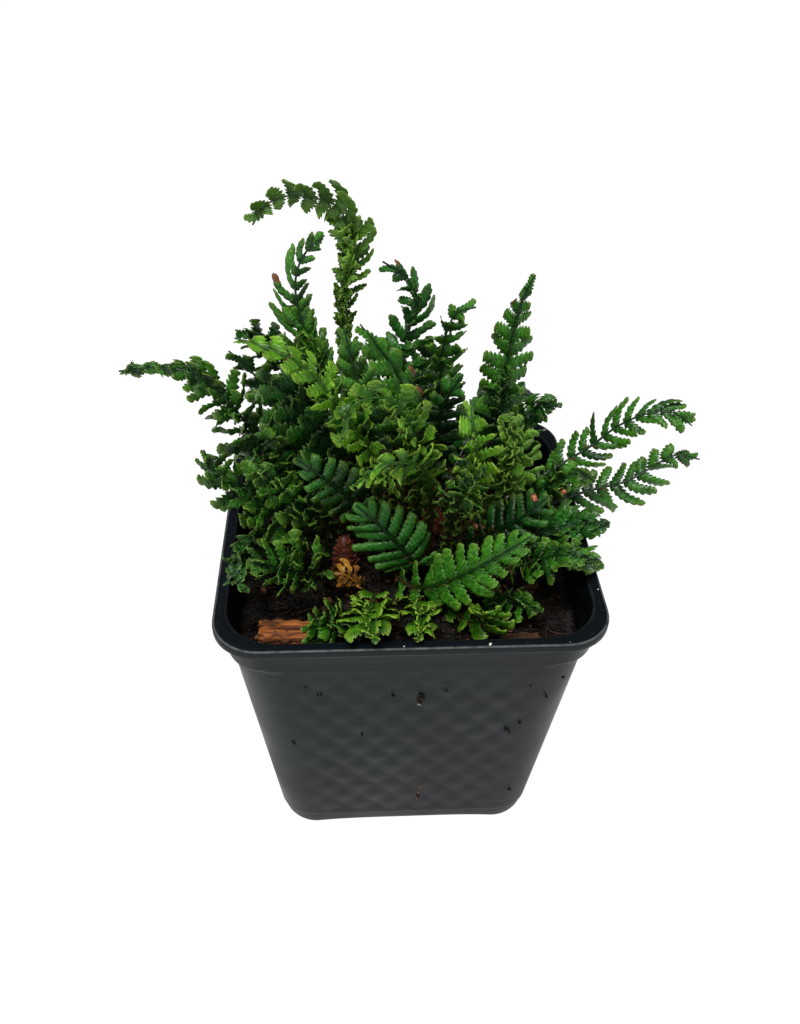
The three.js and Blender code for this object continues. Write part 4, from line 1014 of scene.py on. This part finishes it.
class Line:
    """A frond's centre line and its directions, with the same form as in the part's source."""

    def __init__(self, row):
        x, y = row.base
        root = (x, y, SOIL_TOP - STIPE_DEPTH)
        foot = (x, y, soil_height(x, y) + STIPE_RISE)
        knots = np.array([root, foot, *row.spine], float)
        knots = np.vstack([2 * knots[0] - knots[1], knots, 2 * knots[-1] - knots[-2]])
        samples = []
        for i in range(1, len(knots) - 2):
            samples.append(centripetal(knots[i - 1:i + 3], np.linspace(0, 1, LINE_STEPS, endpoint=False)))
        self.points = np.vstack([*samples, knots[-2]])
        steps = np.linalg.norm(np.diff(self.points, axis=0), axis=1)
        self.travel = np.concatenate([[0], np.cumsum(steps)])
        self.tangents = unit(np.gradient(self.points, self.travel, axis=0))
        self.length = self.travel[-1]
        self.foot = (foot[2] - root[2]) / self.length
        self.start = lerp(self.foot, 1, row.start)
        self.face = unit(row.face)
        self.stipe_side = np.cross(self.directions(self.start), self.face)

    def along(self, share, columns):
        travel = np.clip(share, 0, 1) * self.length
        return np.stack([np.interp(travel, self.travel, columns[:, i]) for i in range(3)], -1)

    def directions(self, share):
        return unit(self.along(share, self.tangents))

    def at(self, share):
        """Point, side and normal at shares of the length; past the tip the line goes on straight."""
        share = np.asarray(share, float)
        inside = np.clip(share, 0, 1)
        tangent = self.directions(inside)
        point = self.along(inside, self.points) + tangent * ((share - inside) * self.length)[..., None]
        side = np.cross(tangent, self.face)
        side = np.where((inside < self.start)[..., None], self.stipe_side, side)
        side = unit(side - (side * tangent).sum(-1, keepdims=True) * tangent)
        return point, side, np.cross(side, tangent)


def centripetal(knots, t):
    """Centripetal Catmull-Rom points between the second and third of four knots."""
    gaps = np.maximum(np.linalg.norm(np.diff(knots, axis=0), axis=1) ** 0.5, 1e-4)
    p0, p1, p2, p3 = knots
    m1 = ((p1 - p0) / gaps[0] - (p2 - p0) / (gaps[0] + gaps[1]) + (p2 - p1) / gaps[1]) * gaps[1]
    m2 = ((p2 - p1) / gaps[1] - (p3 - p1) / (gaps[1] + gaps[2]) + (p3 - p2) / gaps[2]) * gaps[1]
    t = t[:, None]
    return p1 + m1 * t + (-3 * p1 + 3 * p2 - 2 * m1 - m2) * t ** 2 + (2 * p1 - 2 * p2 + m1 + m2) * t ** 3


def leaflet_profile(u, row):
    """Share of the full leaflet length along the blade."""
    rise = 1 - 0.5 * (1 - u / 0.25) ** 2 if u < 0.25 else 1
    if row.late:
        rise = 1 - LATE_RISE * (1 - (u / row.late) ** 2) if u < row.late else 1
    full_end = max(0.4, row.late)
    along = min(1, max(0, (u - full_end) / ((1 - full_end) * row.taper)))
    return rise * (1 - TIP_NARROWING * along ** 1.3)


def arc_at(run, arc):
    """How far forward and how far sideways a line of length 1 gets that bends by an angle on a circle."""
    arc = math.copysign(max(abs(arc), LEAST_ARC), arc)
    return np.sin(arc * run) / arc, (1 - np.cos(arc * run)) / arc


def leaflet_grid(style, length, half, draw):
    """Grid of a lobed, ruffled leaflet: how far out, along the rib and up it lies, and its attributes."""
    lobes = style["lobes"]
    t = np.array([(k + step) / lobes for k in range(lobes) for step in LOBE_STEPS] + [1.0])[:, None]
    v = LEAFLET_COLUMNS[None, :]
    reach = np.abs(v)
    phase = lobes * t - np.floor(lobes * t + 1e-6)
    tooth = np.where(phase <= LOBE_PEAK, phase / LOBE_PEAK, (1 - phase) / (1 - LOBE_PEAK))
    lobe = np.clip(tooth, 0, 1) ** LOBE_ROUND
    towards_tip = np.clip((t - TIP_FROM) / (1 - TIP_FROM), 0, 1)
    outline = lerp(TIP_WIDTH, 1, np.sqrt(1 - towards_tip ** 2))
    outline = outline * lerp(style["foot"], 1, np.clip(2 * t, 0, 1))
    wide = half * outline * (1 - style["depth"] * (1 - lobe) * reach ** 2)
    shift = draw.uniform(0, TURN, 2)
    wave = np.sin(TURN * style["waves"] * t + np.where(v > 0, shift[0], shift[1]))
    tilt = style["shingle"] + style["twist"] * draw.uniform(-1, 1) * t
    tilt = tilt + 0.6 * style["jitter"] * draw.uniform(-1, 1)
    hook = style["hook"] * draw.uniform(*HOOK_DRAW)
    run = t + 0.3 / lobes * reach ** 2 * lobe * (1 - t)
    forward, rise = arc_at(run, 2 * style["curl"] * draw.uniform(*CURL_DRAW))
    out, swing = arc_at(forward, hook)
    out = length * out - v * wide * np.cos(tilt) * np.sin(hook * t)
    along = length * swing + v * wide * np.cos(tilt) * np.cos(hook * t)
    lift = v * wide * np.sin(tilt) + length * rise
    lift = lift + style["ruffle"] * reach ** 1.6 * wave * np.clip(3 * t, 0.3, 1)
    every_other = np.where(np.floor(lobes * t) % 2 == 0, 1, -0.4)
    lift = lift + style["pucker"] * reach ** 2 * (lobe - 0.5) * every_other
    lift = lift + style["roll"] * half * reach ** 2
    lift = lift - MIDRIB_DEPTH * np.exp(-(v / MIDRIB_WIDTH) ** 2) * (1 - t)
    edge = np.maximum(reach, np.clip((t - 0.92) / 0.08, 0, 1))
    marks = dict(edge=edge, run=t + 0 * v, vein=lobes * t - 0.8 * reach)
    return out, along, lift, marks


def inside_box(points):
    """The points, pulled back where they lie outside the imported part's box."""
    low, high = np.array(cad_box) / MM
    return np.clip(points, low + EDGE_ROOM, high - EDGE_ROOM)


def depth_inside(point):
    """How deep the painted shade is: 1 in the middle of the plant, 0 at and beyond the outer leaves."""
    return max(0.0, 1 - float(np.linalg.norm((point - CORE) / CORE_REACH)))


class Leafy:
    """A frond on its way: its row and line, and the skin that its leaflets and scales are added to."""

    def __init__(self, row):
        self.row = row
        self.skin = Skin()
        self.line = Line(row)
        self.style = row.style
        self.draw = np.random.RandomState(row.seed)
        self.pairs = round(row.pairs * row.style["dense"])
        self.pitch = self.line.length * (1 - self.line.start) / (self.pairs + 1)

    def either(self):
        """A draw from -1 to 1."""
        return self.draw.uniform(-1, 1)

    def add_rib(self):
        """Stipe and rib, a tube that gets thinner towards the tip."""
        foot, start = self.line.foot, self.line.start
        stipe_shares = np.linspace(foot, start, STIPE_ROWS)[:-1]
        blade_shares = np.linspace(start, 0.995, RIB_ROWS_PER_PAIR * self.pairs + 4)
        shares = np.concatenate([[0, foot * 0.6], stipe_shares, blade_shares])
        along = np.clip((shares - start) / (1 - start), 0, 1)
        stipe = np.clip((shares - foot) / (start - foot), 0, 1)
        rib_half = RIB_SHARE * RIB_HALF
        half = np.where(along > 0, lerp(rib_half, 0.25, along), lerp(STIPE_HALF, rib_half, stipe))
        point, side, normal = self.line.at(shares)
        marks = dict(rib=0.85, stipe=1 - stipe ** 3, chance=0.5, under=0)
        add_tube(self.skin, point, side * half[:, None], normal * (0.8 * half)[:, None], **marks)

    def add_leaflet(self, at, hand, length, half, lean, rise, rib, cup, dry=0, hook=1):
        """One leaflet on the rib at a share of the line, on the side that hand gives, -1 or 1.

        lean turns it to the tip and rise up out of the blade, rib is the rib's half width there, dry the
        chance of a dry tip, and hook goes with the style's.
        """
        style = {**self.style, "hook": self.style["hook"] * hook}
        out, run, lift, marks = leaflet_grid(style, length, half, self.draw)
        t = marks["run"]
        lift = lift + cup * length * t ** 2
        across = out * math.cos(lean)
        point, side, normal = self.line.at(at + (run + out * math.sin(lean)) / self.line.length)
        level = across * math.cos(rise) - lift * math.sin(rise)
        height = across * math.sin(rise) + lift * math.cos(rise)
        grid = point + side * (hand * (0.3 * rib + level))[..., None] + normal * height[..., None]
        thick = lerp(LEAF_HALF_THICK, MARGIN_HALF_THICK, np.abs(LEAFLET_COLUMNS)[None, :] + 0 * t)
        marks["dry"] = np.clip((t - DRY_FROM) / DRY_FADE, 0, 1) if self.draw.uniform() < dry else 0 * t
        if hand < 0:
            grid = grid[:, ::-1]
            marks = {key: value[:, ::-1] for key, value in marks.items()}
        # A random tone and the frond's lightness, less painted shade the deeper the leaflet's base lies in
        # the plant
        chance = self.draw.uniform(*TONE_DRAW) + style["light"] - SHADE * depth_inside(grid[0, 0])
        add_plate(self.skin, inside_box(grid), thick, chance=chance, **marks)

    def add_pairs(self, size, rise):
        """One layer of leaflets, in pairs along the blade."""
        row, jitter = self.row, self.style["jitter"]
        offset = 0.5 if rise == 0 else 1.0
        for k in range(self.pairs):
            middle = (k + offset) / (self.pairs + 1)
            at = lerp(self.line.start, 1, middle)
            lean = lerp(*row.lean, middle)
            rib = lerp(RIB_HALF, RIB_TIP_HALF, middle)
            profile = leaflet_profile(middle, row)
            outer = min(max((middle - 0.5) / 0.2, 0), 1)
            for hand, share in zip((-1, 1), row.shares):
                step = 2 * k + (hand + 1) // 2
                length = size * row.width * share * profile * (1 + LENGTH_DRAW * wiggle(row.seed, step))
                length *= lerp(1, row.swell, middle)
                cup = row.cup + CUP_DRAW * wiggle(row.seed + 1, step)
                turn = lean + jitter * self.either()
                up = rise + jitter * self.either()
                half = self.style["fill"] * self.pitch * lerp(SHORT_WIDTH, 1, profile) * size ** 0.5
                half *= lerp(1, row.tip_fill, outer)
                hook = lerp(1, row.tip_hook, middle)
                self.add_leaflet(at, hand, length, half, turn, up, rib, cup, row.dry, hook)

    def add_low_leaflets(self):
        """Short leaflets on the upper part of the stipe, smaller the lower they stand."""
        row, line = self.row, self.line
        low = lerp(line.foot, line.start, row.low)
        count = int((line.start - low) * line.length / self.pitch)
        for k in range(count):
            share = (k + 0.5) / count
            for hand in (-1, 1):
                size = lerp(*row.low_size, share) * (1 + 0.2 * self.either())
                lean = LOW_LEAN + self.style["jitter"] * self.either()
                rise = 0.3 + 0.4 * self.either()
                half = self.style["fill"] * self.pitch * lerp(0.6, 0.9, share)
                at = lerp(low, line.start, share)
                self.add_leaflet(at, hand, 0.5 * row.width * size, half, lean, rise, RIB_HALF, row.cup)

    def add_tuft(self):
        """Small crumpled leaflets all around the rib, as many as the row asks for."""
        row, draw = self.row, self.draw
        for _ in range(row.tuft):
            share = draw.uniform(*row.tuft_part)
            length = row.width * max(leaflet_profile(share, row), 0.6) * draw.uniform(*TUFT_LENGTH)
            rise = draw.uniform(*TUFT_RISE) * draw.choice((-1, 1))
            lean = draw.uniform(*TUFT_LEAN)
            hand = draw.choice((-1, 1))
            at = lerp(self.line.start, 1, share)
            self.add_leaflet(at, hand, length, TUFT_WIDTH * length, lean, rise, 0.5, row.cup)

    def add_tip(self):
        """The lobe at the frond's end, in line with the rib."""
        row, line = self.row, self.line
        length = self.pitch * TIP_PITCHES
        out, along, lift, marks = leaflet_grid(self.style, length, max(TIP_LOBE * row.width, 0.6), self.draw)
        point, side, normal = line.at(1 - 0.9 * length / line.length + out / line.length * 0.9)
        grid = point - side * along[..., None] + normal * (0.5 * lift)[..., None]
        marks["dry"] = 0 * out + (1.0 if self.draw.uniform() < row.dry else 0.0)
        chance = self.draw.uniform() + self.style["light"]
        add_plate(self.skin, inside_box(grid), MARGIN_HALF_THICK, chance=chance, **marks)

    def add_stipe_scales(self):
        """Small papery scales up the stipe and, fewer, along the rib."""
        line, draw = self.line, self.draw
        for _ in range(SCALES_PER_STIPE):
            share = lerp(line.foot, lerp(line.start, 1, 0.35), draw.uniform() ** 1.4)
            point, side, normal = (a[0] for a in line.at([share]))
            angle = draw.uniform(0, TURN)
            out = side * math.cos(angle) + normal * math.sin(angle)
            way = unit(np.cross(normal, side) + 0.5 * out)
            length = draw.uniform(*STIPE_SCALE_LENGTH)
            width = draw.uniform(*STIPE_SCALE_WIDTH)
            add_scale(self.skin, point + 0.6 * out, way, out, length, width, scale=1.0, chance=0.5)

    def add_flakes(self):
        facing = unit(FLAKE_FACING)
        for place, length in self.row.flakes:
            way = unit(np.cross(facing, self.draw.uniform(-1, 1, 3)))
            for turn in (-FLAKE_SPLAY, FLAKE_SPLAY):
                bent = unit(way + turn * np.cross(way, facing))
                base = np.array(place) + 0.3 * facing
                add_scale(self.skin, base, bent, facing, length, 0.7 * length, scale=2.0)


def make_frond(row, material):
    """One frond as a single piece: stipe and rib, leaflets, a tip lobe, small scales and flakes."""
    leafy = Leafy(row)
    leafy.add_rib()
    for size, rise in row.style["tiers"]:
        leafy.add_pairs(size, rise)
    leafy.add_low_leaflets()
    leafy.add_tuft()
    leafy.add_tip()
    leafy.add_stipe_scales()
    leafy.add_flakes()
    leafy.skin.build(f"frond_{row.name}_leafy", material, f"leaf_{row.tone}", f"frond_{row.name}")


# Stage, camera and light


def make_stage():
    bpy.ops.mesh.primitive_plane_add(size=STAGE_SIZE)
    floor = bpy.context.object
    floor.name = "floor"
    paint = Paint("floor", roughness=0.9, specular=0.0)
    paint.base = (0.12, 0.12, 0.12)
    paint.shader["Emission Color"].default_value = (1, 1, 1, 1)
    paint.shader["Emission Strength"].default_value = FLOOR_GLOW
    floor.data.materials.append(paint.done())


def make_camera():
    data = bpy.data.cameras.new("camera")
    data.lens = CAMERA_LENS
    data.sensor_width = SENSOR_WIDTH
    camera = bpy.data.objects.new("camera", data)
    turn = (
        Matrix.Rotation(-CAMERA_YAW, 4, "Z")
        @ Matrix.Rotation(math.pi / 2 - CAMERA_PITCH, 4, "X")
        @ Matrix.Rotation(CAMERA_ROLL, 4, "Z")
    )
    camera.matrix_world = Matrix.Translation(Vector(CAMERA_AT) * MM) @ turn
    bpy.context.scene.collection.objects.link(camera)
    bpy.context.scene.camera = camera


def make_lights():
    """A broad soft key from above, a weak softbox from the front, and a pale world."""
    sky = bpy.data.lights.new("sky", "SUN")
    sky.energy = KEY_POWER
    sky.angle = math.radians(KEY_SPREAD)
    front = bpy.data.lights.new("front", "AREA")
    front.energy = FRONT_POWER
    front.size = FRONT_SIZE
    key_turn = Vector(KEY_FROM).to_track_quat("Z", "Y")
    front_turn = (Vector(FRONT_AIM) - Vector(FRONT_AT)).to_track_quat("-Z", "Y")
    for data, at, turn in ((sky, (0, 0, 0), key_turn), (front, FRONT_AT, front_turn)):
        light = bpy.data.objects.new(data.name, data)
        light.location = at
        light.rotation_euler = turn.to_euler()
        bpy.context.scene.collection.objects.link(light)
    world = bpy.context.scene.world or bpy.data.worlds.new("world")
    bpy.context.scene.world = world
    world.use_nodes = True
    background = world.node_tree.nodes["Background"]
    background.inputs["Color"].default_value = (1, 1, 1, 1)
    background.inputs["Strength"].default_value = WORLD_STRENGTH
    bpy.context.scene.view_settings.view_transform = "Standard"


make_camera()
make_stage()
make_lights()
make_pot()
make_soil()
orange_bark = bark_material("bark_orange", *ORANGE_BARK)
brown_bark = bark_material("bark_brown", *BROWN_BARK)
for i, (chip_name, chip) in enumerate(CHIPS.items()):
    make_chip(chip_name, chip, orange_bark if i == 0 else brown_bark, seed=20 + i)
scales = crown_material()
for crown_name, crown in CROWNS.items():
    make_crown(crown_name, crown, scales)
leaf = {tone: leaf_material(tone) for tone in LEAF_TONES}
for row in FRONDS:
    make_frond(row, leaf[row.tone])
